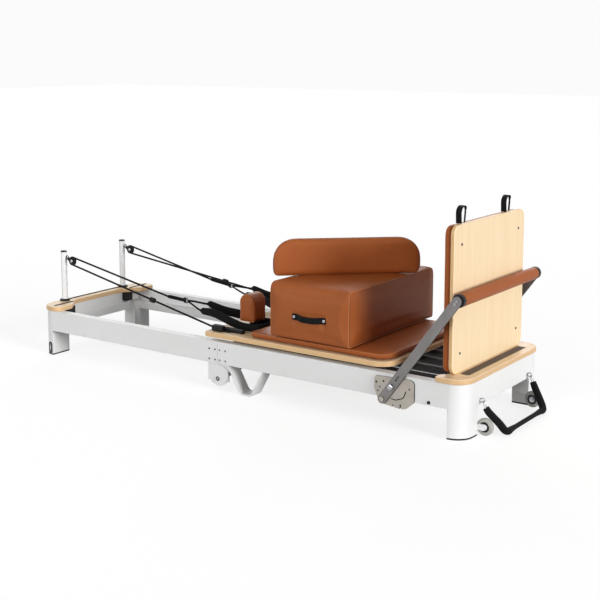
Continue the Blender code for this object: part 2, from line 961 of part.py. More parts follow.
def headBoardOutline():
    """The head board in plan: a narrow bridge over the end rail with two wider ends."""
    side = halfWidth + boardOverhang
    end = headEndX - boardOverhang
    corners = [
        (end, side),
        (end, -side),
        (fromFoot(frameLength - headReach), -side),
        (fromFoot(frameLength - headReach), -side + headArmWidth - 0.050),
        (fromFoot(frameLength - headBridge), -side + headArmWidth + 0.030),
        (fromFoot(frameLength - headBridge), side - headArmWidth - 0.030),
        (fromFoot(frameLength - headReach), side - headArmWidth + 0.050),
        (fromFoot(frameLength - headReach), side),
    ]
    big = cornerRadius + boardOverhang
    return rounded(corners, [big, big, 0.030, 0.030, 0.060, 0.060, 0.030, 0.030], 5)


platform = plate(platformOutline(), "XY", boardBase, boardTop, 0.003)
stripLow = (fromFoot(stripTo), -halfWidth + stripInset)
stripHigh = (fromFoot(stripFrom), halfWidth - stripInset)
stripCorners = [stripLow, (stripHigh[0], stripLow[1]), stripHigh, (stripLow[0], stripHigh[1])]
pocket = plate(
    rounded(stripCorners, 0.010, 4), "XY", boardTop - stripDepth, boardTop + 0.01
)
platformCuts = [pocket]
for side in (-1, 1):
    platformCuts.append(
        cylinder(
            (fromFoot(jumpFace) - jumpPanelThick / 2, side * pegSpacing / 2, boardTop),
            pegRadius + clearance,
            (pegDepth + 0.001) * 2,
            (0, 0, 1),
            16,
        )
    )
finish(combine(platform, platformCuts, "DIFFERENCE"), "foot_platform", "maple")
gripCorners = [
    (stripLow[0] + clearance, stripLow[1] + clearance),
    (stripHigh[0] - clearance, stripLow[1] + clearance),
    (stripHigh[0] - clearance, stripHigh[1] - clearance),
    (stripLow[0] + clearance, stripHigh[1] - clearance),
]
finish(
    plate(rounded(gripCorners, 0.0097, 4), "XY", boardTop - stripDepth + clearance, boardTop),
    "platform_grip_strip",
    "gripStrip",
)

headBoard = plate(headBoardOutline(), "XY", boardBase, boardTop, 0.003)
headCuts = []
grooveX = headEndX + headGrooveInset
slotX = headEndX + headSlotFromEnd
headCuts.append(
    box(
        (grooveX - headGrooveHalf, -postSpacing / 2 + collarRadius, boardTop - headGrooveHalf),
        (grooveX + headGrooveHalf, postSpacing / 2 - collarRadius, boardTop + 0.01),
    )
)
for side in (-1, 1):
    slotMiddle = side * (halfWidth - headSlotInset)
    headCuts.append(
        box(
            (slotX - headSlotHalf, slotMiddle - headSlotReach, boardTop - headSlotDepth),
            (slotX + headSlotHalf, slotMiddle + headSlotReach, boardTop + 0.01),
        )
    )
for placeX, placeY in postPlaces:
    headCuts.append(
        cylinder((placeX, placeY, boardTop), postRadius + clearance, 0.1, (0, 0, 1), 24)
    )
finish(combine(headBoard, headCuts, "DIFFERENCE"), "head_board", "maple")

print("posts and pulleys")


def turned(profile, centre, axis, steps):
    """A solid of revolution. The profile's pairs are radius and height, down its outer side."""
    mesh = bpy.data.meshes.new("turned")
    body = bmesh.new()
    verts = [body.verts.new((radius, 0.0, height)) for radius, height in profile]
    for lower, upper in zip(verts, verts[1:]):
        body.edges.new((lower, upper))
    if profile[0][0] > 0.0:
        body.edges.new((verts[-1], verts[0]))
    body.to_mesh(mesh)
    body.free()
    source = bpy.data.objects.new("turned", mesh)
    cutterCollection.objects.link(source)
    screw = source.modifiers.new("turn", "SCREW")
    screw.axis = "Z"
    screw.angle = 2 * math.pi
    screw.steps = steps
    screw.render_steps = steps
    screw.use_merge_vertices = True
    screw.merge_threshold = 0.00005
    graph = bpy.context.evaluated_depsgraph_get()
    made = bpy.data.meshes.new_from_object(source.evaluated_get(graph))
    bpy.data.objects.remove(source, do_unlink=True)
    turn = Vector((0, 0, 1)).rotation_difference(Vector(axis)).to_matrix().to_4x4()
    body = bmesh.new()
    body.from_mesh(made)
    bmesh.ops.remove_doubles(body, verts=body.verts, dist=0.00001)
    bmesh.ops.transform(body, matrix=Matrix.Translation(Vector(centre)) @ turn, verts=body.verts)
    faceOutwards(body)
    body.to_mesh(made)
    body.free()
    obj = bpy.data.objects.new("turned", made)
    cutterCollection.objects.link(obj)
    obj.data.shade_smooth()
    obj.data.set_sharp_from_angle(angle=math.radians(35))
    return obj


def post(side):
    """A tube that stands in the end rail, with a collar on the board and an eye at the top."""
    placeX, placeY = fromFoot(postFromFoot), side * postSpacing / 2
    collarBottom = boardTop + touchGap
    profile = [
        (0.0, postTop),
        (postRadius - 0.0012, postTop),
        (postRadius, postTop - 0.0012),
        (postRadius, collarBottom + collarHeight),
        (collarRadius - 0.002, collarBottom + collarHeight),
        (collarRadius, collarBottom + collarHeight - 0.002),
        (collarRadius, collarBottom),
        (postRadius, collarBottom),
        (postRadius, postFoot + touchGap),
        (0.0, postFoot + touchGap),
    ]
    shaft = turned(profile, (placeX, placeY, 0.0), (0, 0, 1), 16)
    ringX = placeX + postRadius + hookReach
    ringStart = ringX - eyeRingRadius
    shankStart = placeX + postRadius - 0.006
    shank = cylinder(
        ((shankStart + ringStart) / 2, placeY, hookHeight), eyeShank, ringStart - shankStart, (1, 0, 0), 12
    )
    return combine(shaft, [shank, eyeRing((ringX, placeY, hookHeight))])


def eyeRing(centre):
    """A wire ring that stands in the XZ plane."""
    angles = [2 * math.pi * step / eyeRingSides for step in range(eyeRingSides)]
    return tube(
        [
            (
                centre[0] + eyeRingRadius * math.cos(angle),
                centre[1],
                centre[2] + eyeRingRadius * math.sin(angle),
            )
            for angle in angles
        ],
        eyeWire,
        1,
        cyclic=True,
    )


def stadium(length, halfSpan, steps=3):
    """A long loop with round ends. It starts at the origin, and length lies between its end centres."""
    route = []
    for step in range(steps + 1):
        angle = math.pi / 2 + math.pi * step / steps
        route.append((halfSpan + halfSpan * math.cos(angle), halfSpan * math.sin(angle)))
    for step in range(steps + 1):
        angle = -math.pi / 2 + math.pi * step / steps
        route.append((halfSpan + length + halfSpan * math.cos(angle), halfSpan * math.sin(angle)))
    return route


def placeInPlane(obj, origin, tilt):
    """Turns a piece built along +X about the Y axis, downwards by tilt, and moves it to its origin."""
    move = Matrix.Translation(Vector(origin)) @ Matrix.Rotation(tilt, 4, "Y")
    obj.data.transform(move)
    return obj


hookX = fromFoot(postFromFoot) + postRadius + hookReach
blockTilt = math.radians(blockDroop)
sheaveOuter = sheaveRadius + ropeRadius * 0.9
bridgeStart = swivelSpan + 2 * swivelHalf - blockBite
bridgeEnd = bridgeStart + blockBridge
blockLength = bridgeEnd + sheaveGap + sheaveOuter
sheaveX = hookX + blockLength * math.cos(blockTilt)
sheaveZ = hookHeight - blockLength * math.sin(blockTilt)
sheaveHalf = ropeRadius + 0.0020


def pulleyBlock(side):
    """Two cheeks round a sheave, their bridge, the swivel loop through the post's eye and the axle."""
    placeY = side * postSpacing / 2
    cheekInner = sheaveHalf + 0.0006
    cheekOuter = cheekInner + blockCheek
    block = box(
        (bridgeStart, -cheekOuter, -blockHalfHeight),
        (bridgeEnd, cheekOuter, blockHalfHeight),
    )
    cheeks = []
    for way in (-1, 1):
        low, high = sorted((way * (cheekInner + 0.0001), way * (cheekOuter + 0.0001)))
        corners = [
            (bridgeStart + 0.0008, -blockHalfHeight - 0.001),
            (blockLength + cheekRadius, -cheekRadius),
            (blockLength + cheekRadius, cheekRadius),
            (bridgeStart + 0.0008, blockHalfHeight + 0.001),
        ]
        outline = rounded(corners, [0.002, cheekRadius * 0.84, cheekRadius * 0.84, 0.002], 3)
        cheeks.append(plate(outline, "XZ", low, high))
    axle = cylinder((blockLength, 0.0, 0.0), axleRadius, 2 * cheekOuter + 0.002, (0, 1, 0), 10)
    route = [(x, y, 0.0) for x, y in stadium(swivelSpan, swivelHalf)]
    loop = tube(route, swivelWire, 1, cyclic=True)
    block = combine(block, cheeks + [axle, loop])
    return placeInPlane(block, (hookX, placeY, hookHeight), blockTilt)


def sheave(side):
    """A grooved wheel for the rope, with a bore for the axle."""
    groove = sheaveRadius - ropeRadius - touchGap
    profile = [
        (axleRadius + clearance, sheaveHalf),
        (sheaveOuter - 0.0006, sheaveHalf),
        (sheaveOuter, sheaveHalf - 0.0005),
        (sheaveRadius, ropeRadius + 0.0006),
        (groove + 0.0006, ropeRadius * 0.55),
        (groove, 0.0),
        (groove + 0.0006, -ropeRadius * 0.55),
        (sheaveRadius, -ropeRadius - 0.0006),
        (sheaveOuter, -sheaveHalf + 0.0005),
        (sheaveOuter - 0.0006, -sheaveHalf),
        (axleRadius + clearance, -sheaveHalf),
    ]
    return turned(profile, (sheaveX, side * postSpacing / 2, sheaveZ), (0, 1, 0), 16)


for side, name in ((-1, "near"), (1, "far")):
    placeY = side * postSpacing / 2
    finish(post(side), "post_" + name, "whiteCoat")
    finish(pulleyBlock(side), "pulley_block_" + name, "blackSteel", (hookX, placeY, hookHeight))
    finish(sheave(side), "pulley_sheave_" + name, "blackPlastic", (sheaveX, placeY, sheaveZ))

print("ropes and hand straps")


def tangentPoint(away, upper):
    """Where a straight rope from a point in the XZ plane meets the sheave's rope circle."""
    toCentre = Vector((sheaveX, sheaveZ)) - Vector(away)
    distance = toCentre.length
    turn = math.asin(sheaveRadius / distance)
    reach = math.sqrt(distance**2 - sheaveRadius**2)
    way = -1 if upper else 1
    angle = math.atan2(toCentre.y, toCentre.x) + way * turn
    return Vector(away) + Vector((math.cos(angle), math.sin(angle))) * reach


cleatRopeHeight = carriageTop + ropeCleatRise


def rope(side, strapFromFoot, strapHeight, knotFromFoot):
    """A rope from its hand strap over the sheave and back to the cleat on the carriage."""
    placeY = side * postSpacing / 2
    start = (fromFoot(strapFromFoot), strapHeight)
    cleatX = fromFoot(cleatHeadEdge) - ropeRadius * 0.5
    cleatY = side * (halfWidth - cleatInset)
    upper = tangentPoint(start, True)
    lower = tangentPoint((cleatX, cleatRopeHeight), False)
    centre = Vector((sheaveX, sheaveZ))
    first = math.atan2(upper.y - centre.y, upper.x - centre.x)
    last = math.atan2(lower.y - centre.y, lower.x - centre.x)
    if last < first:
        last += 2 * math.pi
    route = [(start[0], placeY, start[1])]
    for step in range(9):
        angle = first + (last - first) * step / 8
        route.append(
            (centre.x + sheaveRadius * math.cos(angle), placeY, centre.y + sheaveRadius * math.sin(angle))
        )
    radii = [1.0] * len(route)
    leave = Vector(route[-1])
    end = Vector((cleatX, cleatY, cleatRopeHeight))
    knotPart = (fromFoot(knotFromFoot) - leave.x) / (end.x - leave.x)
    knotHalf = toggleLength / 2 / (end - leave).length
    for part, size in (
        (knotPart - knotHalf * 1.05, 1.0),
        (knotPart - knotHalf, toggleSize),
        (knotPart + knotHalf, toggleSize),
        (knotPart + knotHalf * 1.05, 1.0),
        (1.0, 1.0),
    ):
        route.append(tuple(leave + (end - leave) * part))
        radii.append(size)
    return tube(route, ropeRadius, 1, radii)


def ribbon(centres, halves, thick):
    """A closed strap that stands on edge: its width upright and its thickness across its route."""
    count = len(centres)
    sections = []
    for index, here in enumerate(centres):
        ahead = Vector(centres[(index + 1) % count]) - Vector(centres[index - 1])
        side = Vector((-ahead.y, ahead.x, 0.0)).normalized() * thick[index] / 2
        up = Vector((0.0, 0.0, halves[index]))
        place = Vector(here)
        sections.append([place - side - up, place + side - up, place + side + up, place - side + up])

    def build(body):
        rings = [[body.verts.new(point) for point in section] for section in sections]
        for index in range(count):
            lower, upper = rings[index], rings[(index + 1) % count]
            for corner in range(4):
                after = (corner + 1) % 4
                body.faces.new((lower[corner], lower[after], upper[after], upper[corner]))

    obj = meshObject("ribbon", build)
    obj.data.shade_smooth()
    obj.data.set_sharp_from_angle(angle=math.radians(35))
    return obj


def handStrap(side, strapFromFoot, strapHeight, buckleFromFoot, buckleHeight, loopFromFoot):
    """A lead of webbing, its buckle and a padded loop laid round the shoulder rest's foot."""
    placeY = side * postSpacing / 2
    baseMiddle = side * (halfWidth - restNearEdge - restWidth / 2)
    start = Vector((fromFoot(strapFromFoot) + touchGap, placeY, strapHeight))
    buckle = Vector((fromFoot(buckleFromFoot), placeY, buckleHeight))
    lean = math.atan2(start.z - buckle.z, buckle.x - start.x)
    length = (buckle - start).length
    lead = box((0.0, -leadThick / 2, -leadHalf), (length, leadThick / 2, leadHalf))
    buckleHalf = buckleSize / 2
    clasp = box(
        (length - buckleHalf, -buckleThick / 2, -buckleHalf),
        (length + buckleHalf, buckleThick / 2, buckleHalf),
    )
    lead = placeInPlane(combine(lead, [clasp]), tuple(start), lean)
    far = fromFoot(baseFootEdge - wrapGap)
    openHeight, wrapHeight = carriageTop + loopStartRise, carriageTop + wrapRise
    sideY = baseWidth / 2 + strapClear
    loopX = fromFoot(loopFromFoot)
    route = [
        (buckle.x + 0.004, 0.0, buckleHeight, 0.0055),
        (buckle.x + 0.030, 0.006, buckleHeight - 0.006, 0.0055),
        (loopX - 0.004, 0.020, openHeight, 0.0055),
        (loopX, 0.021, openHeight, loopHalf),
        ((loopX * 2 + fromFoot(restHeadEdge)) / 3, 0.036, openHeight - 0.011, loopHalf * 1.35),
        ((loopX + fromFoot(restHeadEdge) * 2) / 3, 0.052, openHeight - 0.024, loopHalf * 1.4),
        (fromFoot(baseHeadEdge) - 0.012, sideY - 0.002, wrapHeight + 0.006, loopHalf * 1.35),
        (fromFoot(baseHeadEdge) + 0.040, sideY, wrapHeight, wrapHalf),
        (far - 0.022, sideY, wrapHeight, wrapHalf),
        (far - 0.009, sideY - 0.001, wrapHeight, wrapHalf),
        (far - 0.001, sideY - 0.010, wrapHeight, wrapHalf),
        (far + 0.001, 0.0, wrapHeight, wrapHalf),
    ]
    toward = placeY - baseMiddle
    nearHalf = []
    for x, out, z, half in route:
        # the loop opens from the rope's line and settles round the middle of the base
        blend = min(max((x - buckle.x) / (fromFoot(baseHeadEdge) - buckle.x), 0.0), 1.0)
        nearHalf.append((x, baseMiddle + toward * (1 - blend), out, z, half))
    centres, halves, thick = [], [], []
    for x, middle, out, z, half in nearHalf:
        centres.append((x, middle - out, z))
        halves.append(half)
        thick.append(webThick if half < 0.006 else padThick)
    for x, middle, out, z, half in reversed(nearHalf[1:-1]):
        centres.append((x, middle + out, z))
        halves.append(half)
        thick.append(webThick if half < 0.006 else padThick)
    return combine(lead, [ribbon(centres, halves, thick)])


ropePlans = {
    -1: (openNear, slackNear, leadNear, strapNearRise, buckleNearRise),
    1: (openFar, slackFar, leadFar, strapFarRise, buckleFarRise),
}
for side, name in ((-1, "near"), (1, "far")):
    opening, slack, lead, rise, buckleRise = ropePlans[side]
    loopStart = baseHeadEdge + opening
    buckle = loopStart + slack
    strap = buckle + lead
    height, buckleHeight = carriageTop + rise, carriageTop + buckleRise
    finish(rope(side, strap, height, cleatHeadEdge + toggleFromCleat), "rope_" + name, "webbing")
    finish(
        handStrap(side, strap, height, buckle, buckleHeight, loopStart), "hand_strap_" + name, "webbing"
    )

print("carriage")
rollerHeight = trackTop + touchGap + rollerRadius
side = halfWidth - carriageInset
carriageCorners = [
    (fromFoot(carriageFootEdge), -side),
    (fromFoot(carriageFootEdge), side),
    (fromFoot(carriageHeadEdge), side),
    (fromFoot(carriageHeadEdge), -side),
]
finish(
    plate(
        rounded(carriageCorners, [carriageCorner, carriageCorner, 0.012, 0.012], 5),
        "XY",
        carriageBase,
        carriageTop,
        0.002,
    ),
    "carriage_board",
    "maple",
)


def level(x, y, depth):
    return (x, y, cushionBase + cushionThick / 2 + depth)


side = halfWidth - cushionInset
cushionCorners = [
    (fromFoot(cushionFootEdge), -side),
    (fromFoot(cushionFootEdge), side),
    (fromFoot(cushionHeadEdge), side),
    (fromFoot(cushionHeadEdge), -side),
]
finish(
    cushion(
        rounded(cushionCorners, [cushionCorner, cushionCorner, 0.022, 0.022], 5),
        cushionThick,
        level,
        0.009,
        0.003,
    ),
    "carriage_cushion",
    "leather",
)


def underframe():
    """Two long beams under the board, two cross bars, the spring hook bar and four axles."""
    top = carriageBase - touchGap
    beams = []
    for side in (-1, 1):
        edges = sorted((side * (halfWidth - beamInset), side * (halfWidth - beamInset - beamWidth)))
        beams.append(
            box(
                (fromFoot(rollerHeadPlace) - beamPast, edges[0], top - beamHeight),
                (fromFoot(rollerFootPlace) + beamPast, edges[1], top),
            )
        )
    reach = halfWidth - beamInset - beamWidth / 2
    bars = []
    for place, half, depth in (
        (rollerHeadPlace, barHalf, barDepth),
        (rollerFootPlace, barHalf, barDepth),
        (hookBarPlace, hookBarHalf, top - springHeight + springBarHalf),
    ):
        bars.append(
            box(
                (fromFoot(place) - half, -reach, top - depth),
                (fromFoot(place) + half, reach, top - 0.001),
            )
        )
    axles = []
    for place in (rollerHeadPlace, rollerFootPlace):
        for side in (-1, 1):
            outer = halfWidth - railThick - 0.002
            inner = halfWidth - beamInset - beamWidth / 2
            axles.append(
                cylinder(
                    (fromFoot(place), side * (outer + inner) / 2, rollerHeight),
                    rollerAxle,
                    outer - inner,
                    (0, 1, 0),
                    14,
                )
            )
    frame = combine(beams[0], [bars[0], beams[1], bars[1], bars[2]] + axles)
    bores = [
        cylinder(
            (fromFoot(hookBarPlace) + hookBarHalf, place, springHeight),
            springWire + clearance,
            springBite * 2,
            (1, 0, 0),
            10,
        )
        for place in springPlaces
    ]
    return combine(frame, bores, "DIFFERENCE")


finish(underframe(), "carriage_underframe", "blackSteel")
rollerProfile = [
    (rollerAxle + clearance, rollerWidth / 2),
    (rollerRadius - 0.002, rollerWidth / 2),
    (rollerRadius, rollerWidth / 2 - 0.002),
    (rollerRadius, -rollerWidth / 2 + 0.002),
    (rollerRadius - 0.002, -rollerWidth / 2),
    (rollerAxle + clearance, -rollerWidth / 2),
]
index = 0
for place in (rollerFootPlace, rollerHeadPlace):
    for side in (-1, 1):
        index += 1
        centre = (fromFoot(place), side * (halfWidth - railThick - rollerInset), rollerHeight)
        finish(
            turned(rollerProfile, centre, (0, 1, 0), 16),
            "carriage_wheel_" + str(index),
            "tyreGrey",
            centre,
        )


def springRoute(place):
    """The centre line of one spring: straight ends in the two bars and even turns between them."""
    low = fromFoot(hookBarPlace) + hookBarHalf - springBite + 0.001
    high = springBarX - springBarHalf + springBite - 0.001
    lead = springBite + 0.012
    route = [(low, place, springHeight), (low + lead, place, springHeight)]
    turns = springCurls * springPoints
    first, last = low + lead + 0.006, high - lead - 0.006
    for step in range(turns + 1):
        angle = 2 * math.pi * step / springPoints
        route.append(
            (
                first + (last - first) * step / turns,
                place + springRadius * math.cos(angle),
                springHeight + springRadius * math.sin(angle),
            )
        )
    route += [(high - lead, place, springHeight), (high, place, springHeight)]
    return route


def leastGap(route, radius):
    """The smallest free distance between parts of a tube that aren't neighbours."""
    least = 1.0
    apart = springPoints // 2 + 1
    for index, here in enumerate(route):
        for other in route[index + apart :]:
            least = min(least, (Vector(here) - Vector(other)).length - 2 * radius)
    return least


for index, place in enumerate(springPlaces):
    route = springRoute(place)
    finish(tube(route, springWire, 1), "spring_" + str(index + 1), "blackSteel")
print("spring gap to itself in mm:", round(leastGap(springRoute(0.0), springWire) * 1000, 2))

print("shoulder rests")


def shoulderBase(side):
    """A foot plate for a shoulder rest, with the rope's cleat and a side bar on the same plate."""
    middle = side * (halfWidth - restNearEdge - restWidth / 2)
    bottom = carriageTop + touchGap
    top = bottom + baseThick
    base = box(
        (fromFoot(baseHeadEdge), middle - baseWidth / 2, bottom),
        (fromFoot(baseFootEdge), middle + baseWidth / 2, top),
    )
    boss = cylinder(
        (fromFoot(restStemPlace), middle, (bottom + restBottom - touchGap) / 2),
        bossRadius,
        restBottom - touchGap - bottom,
        (0, 0, 1),
        14,
    )
    barY = sorted((side * (halfWidth - barInset), side * (halfWidth - barInset - barWidth)))
    bar = box(
        (fromFoot(restStemPlace + barHeadReach), barY[0], bottom + touchGap),
        (fromFoot(restStemPlace - barFootReach), barY[1], bottom + barHeight),
    )
    cleatY = side * (halfWidth - cleatInset)
    cleat = box(
        (fromFoot(cleatHeadEdge), cleatY - cleatHalf, bottom + touchGap / 2),
        (fromFoot(cleatFootEdge), cleatY + cleatHalf, bottom + cleatHeight),
        0.006,
        2,
    )
    webY = sorted((side * (halfWidth - cleatInset), middle))
    web = box(
        (fromFoot(restStemPlace + webHeadReach), webY[0], bottom + touchGap / 4),
        (fromFoot(restStemPlace + webFromStem), webY[1], bottom + webHeight),
    )
    body = combine(base, [boss, web, bar, cleat])
    bore = cylinder(
        (fromFoot(restStemPlace), middle, restBottom),
        stemRadius + clearance,
        stemBite * 2,
        (0, 0, 1),
        12,
    )
    return combine(body, [bore], "DIFFERENCE")


def shoulderRest(side):
    """A padded block with an arched top on a stem."""
    middle = side * (halfWidth - restNearEdge - restWidth / 2)
    width = restHeadEdge - restFootEdge
    arch = width / 2
    low, high = fromFoot(restHeadEdge), fromFoot(restFootEdge)
    corners = [
        (low, restBottom),
        (high, restBottom),
        (high, restBottom + restHeight),
        (low, restBottom + restHeight),
    ]
    outline = rounded(corners, [0.006, 0.006, arch * 0.97, arch * 0.97], 4)
    pad = cushion(outline, restWidth, lambda x, z, depth: (x, middle + depth, z), 0.006, 0.003, 0.001)
    stemLow = restBottom - stemBite + 0.003
    stemHigh = restBottom + baseThick
    stem = cylinder(
        (fromFoot(restStemPlace), middle, (stemLow + stemHigh) / 2),
        stemRadius,
        stemHigh - stemLow,
        (0, 0, 1),
        12,
    )
    return combine(pad, [stem])


for side, name in ((-1, "near"), (1, "far")):
    finish(shoulderBase(side), "shoulder_base_" + name, "blackPlastic")
    finish(shoulderRest(side), "shoulder_rest_" + name, "leather")

print("sitting box and panel")
boxBase = cushionTop + touchGap
boxMiddleX = fromFoot(boxFootSide + boxDepth / 2)
low, high = fromNear(boxNearEdge), fromNear(boxNearEdge) + boxLength
boxCorners = [
    (low, boxBase),
    (high, boxBase),
    (high, boxBase + boxHeight),
    (low, boxBase + boxHeight),
]
finish(
    cushion(
        rounded(boxCorners, [0.008, 0.008, boxEdge, boxEdge], 4),
        boxDepth,
        lambda y, z, depth: (boxMiddleX + depth, y, z),
        0.007,
        0.003,
        boxDrawn,
    ),
    "sitting_box",
    "leather",
)


def boxHandle():
    """A flat handle on the box's end, standing off it in the middle."""
    face = fromNear(boxNearEdge) - touchGap + boxDrawn / 2
    right = fromFoot(boxFootSide + handleFromFootSide)
    left = right - handleSpan
    height = boxBase + boxHandleRise
    away = handleStandOff
    half = handleBandThick / 2
    route = [
        (left - 0.016, face - half),
        (left + 0.014, face - half),
        (left + 0.034, face - away),
        (right - 0.034, face - away),
        (right - 0.014, face - half),
        (right + 0.016, face - half),
    ]
    route = rounded(route, [0.0, 0.010, 0.010, 0.010, 0.010, 0.0], 3)
    strip = band(route, handleBandThick)
    return plate(
        strip, "XY", height - handleBandHalf, height + handleBandHalf
    )


finish(boxHandle(), "box_handle", "blackPlastic")
panelBase = boxBase + boxHeight + touchGap
panelAlong = Vector((math.cos(math.radians(panelTurn)), math.sin(math.radians(panelTurn)), 0.0))
panelFacing = Vector((panelAlong.y, -panelAlong.x, 0.0))
panelCorner = Vector((fromFoot(panelNearX), fromNear(panelNearY), panelBase))
panelCorners = [
    (0.0, 0.0),
    (panelLength, 0.0),
    (panelLength, panelHeight),
    (0.0, panelHeight),
]


def panelPlace(along, up, depth):
    place = panelCorner + panelAlong * along + panelFacing * (depth - panelThick / 2)
    return (place.x, place.y, place.z + up)


finish(
    cushion(
        rounded(panelCorners, [0.010, 0.010, panelRound, panelRound], 5),
        panelThick,
        panelPlace,
        0.009,
        0.004,
    ),
    "panel_cushion",
    "leather",
)

print("jump board")
jumpBase = boardTop + touchGap
jumpSide = jumpWidth / 2
jumpCorners = [
    (-jumpSide, jumpBase),
    (jumpSide, jumpBase),
    (jumpSide, jumpBase + jumpHeight),
    (-jumpSide, jumpBase + jumpHeight),
]
jumpOutline = rounded(jumpCorners, jumpCorner, 5)
jumpFront = fromFoot(jumpFace)
jumpBack = jumpFront - jumpPanelThick
panel = plate(jumpOutline, "YZ", jumpBack, jumpFront, 0.003)
pegs = [
    cylinder(
        ((jumpBack + jumpFront) / 2, side * pegSpacing / 2, jumpBase - pegDepth / 2 + 0.004),
        pegRadius,
        pegDepth + 0.008,
        (0, 0, 1),
        16,
    )
    for side in (-1, 1)
]
finish(combine(panel, pegs), "jump_board_panel", "maple")
padBack = jumpBack - touchGap - jumpPadThick
finish(
    cushion(
        jumpOutline,
        jumpPadThick,
        lambda y, z, depth: (padBack + jumpPadThick / 2 + depth, y, z),
        0.008,
        0.003,
        0.0008,
    ),
    "jump_board_pad",
    "leather",
)


def jumpLoop(middle):
    """A loop of webbing on the board's top edge, its legs on the edge of panel and pad."""
    foot = jumpBase + jumpHeight + touchGap
    half = loopSpan / 2 - loopWebThick / 2
    top = foot + loopHeight - loopWebThick / 2
    corners = [
        (middle - half + 0.004, foot),
        (middle - half, top),
        (middle + half, top),
        (middle + half - 0.010, foot),
    ]
    route = rounded(corners, [0.0, half * 0.92, half * 0.80, 0.0], 8)
    strip = band(route, loopWebThick, True)
    centre = jumpBack - 0.002
    return plate(strip, "YZ", centre - loopWebWidth / 2, centre + loopWebWidth / 2)


finish(jumpLoop(fromNear(loopNearPlace)), "jump_board_loop_near", "webbing")
finish(jumpLoop(fromNear(loopFarPlace)), "jump_board_loop_far", "webbing")

print("footbar")
pivotX = fromFoot(pivotFromFoot)
# the arm leans so that the bar's sleeve stops short of the jump board by its clearance
barReach = pivotFromFoot - jumpFace + sleeveRadius + barClear
lean = math.acos(barReach / armReach)
barX = pivotX + barReach
barZ = pivotHeight + armReach * math.sin(lean)
bracketInner = halfWidth + touchGap
bracketOuter = bracketInner + bracketThick
armInner = bracketOuter + touchGap
armOuter = armInner + armThick
alongArm = Vector((math.cos(lean), math.sin(lean)))


def onArm(distance):
    """X and Z of a point at a distance from the pivot along the arm's middle line."""
    return (pivotX + alongArm.x * distance, pivotHeight + alongArm.y * distance)


def fromPivot(offsets):
    """X and Z of points given as their distances headwards and upwards from the footbar's pivot."""
    return [(pivotX - back, pivotHeight + up) for back, up in offsets]


def footbarBracket(side):
    """The side plate that holds the footbar, with its slots, its lock holes and the pivot stud."""
    edges = sorted((side * bracketInner, side * bracketOuter))
    body = plate(rounded(fromPivot(bracketShape), bracketRounds, 3), "XZ", edges[0], edges[1])
    cuts = []
    slotRoute = rounded(fromPivot(bracketSlot), [0.0, 0.018, 0.018, 0.0], 2)
    cuts.append(
        plate(band(slotRoute, bracketSlotWidth), "XZ", edges[0] - 0.01, edges[1] + 0.01)
    )
    for x, z in fromPivot(bracketNotches):
        cuts.append(
            box(
                (x - 0.003, edges[0] - 0.01, 0.0),
                (x + 0.003, edges[1] + 0.01, z),
            )
        )
    middle = (edges[0] + edges[1]) / 2
    for step in lockSteps:
        turn = lean + math.radians(step)
        place = (
            pivotX + lockDistance * math.cos(turn),
            middle,
            pivotHeight + lockDistance * math.sin(turn),
        )
        cuts.append(cylinder(place, lockPinRadius + clearance, 0.03, (0, 1, 0), 10))
    for x, z in fromPivot(bracketHoles):
        cuts.append(cylinder((x, middle, z), bracketHoleRadius, 0.03, (0, 1, 0), 8))
    body = combine(body, cuts, "DIFFERENCE")
    headStart = armOuter + touchGap
    studEnd = headStart + studHead
    start = bracketInner + bracketThick / 2
    shankEnd = headStart + studHead / 2
    stud = cylinder(
        (pivotX, side * (start + shankEnd) / 2, pivotHeight),
        studRadius,
        shankEnd - start,
        (0, 1, 0),
        12,
    )
    head = cylinder(
        (pivotX, side * (headStart + studEnd) / 2, pivotHeight),
        studRadius * 1.75,
        studHead,
        (0, 1, 0),
        12,
    )
    return combine(body, [combine(stud, [head])])


def footbarArm(side):
    """A flat bar with round ends, bored for the pivot, the lock pin and the bolts at its top."""
    edges = sorted((side * armInner, side * armOuter))
    half = armWidth / 2
    low = [(-half, -half), (armReach + half, -half), (armReach + half, half), (-half, half)]
    outline = rounded(low, half * 0.985, 4)
    turned2d = [
        (
            pivotX + x * alongArm.x - z * alongArm.y,
            pivotHeight + x * alongArm.y + z * alongArm.x,
        )
        for x, z in outline
    ]
    arm = plate(turned2d, "XZ", edges[0], edges[1])
    middle = (edges[0] + edges[1]) / 2
    cuts = []
    for distance, radius in (
        (0.0, studRadius),
        (lockDistance, lockPinRadius),
        (armReach, armBoltRadius),
        (armReach - armBoltStep, armBoltRadius),
    ):
        x, z = onArm(distance)
        cuts.append(cylinder((x, middle, z), radius + clearance, 0.03, (0, 1, 0), 12))
    slotLow, slotHigh = onArm(armSlotFrom), onArm(armSlotTo)
    slot = band([slotLow, slotHigh], armSlotWidth)
    cuts.append(plate(slot, "XZ", edges[0] - 0.01, edges[1] + 0.01))
    return combine(arm, cuts, "DIFFERENCE")


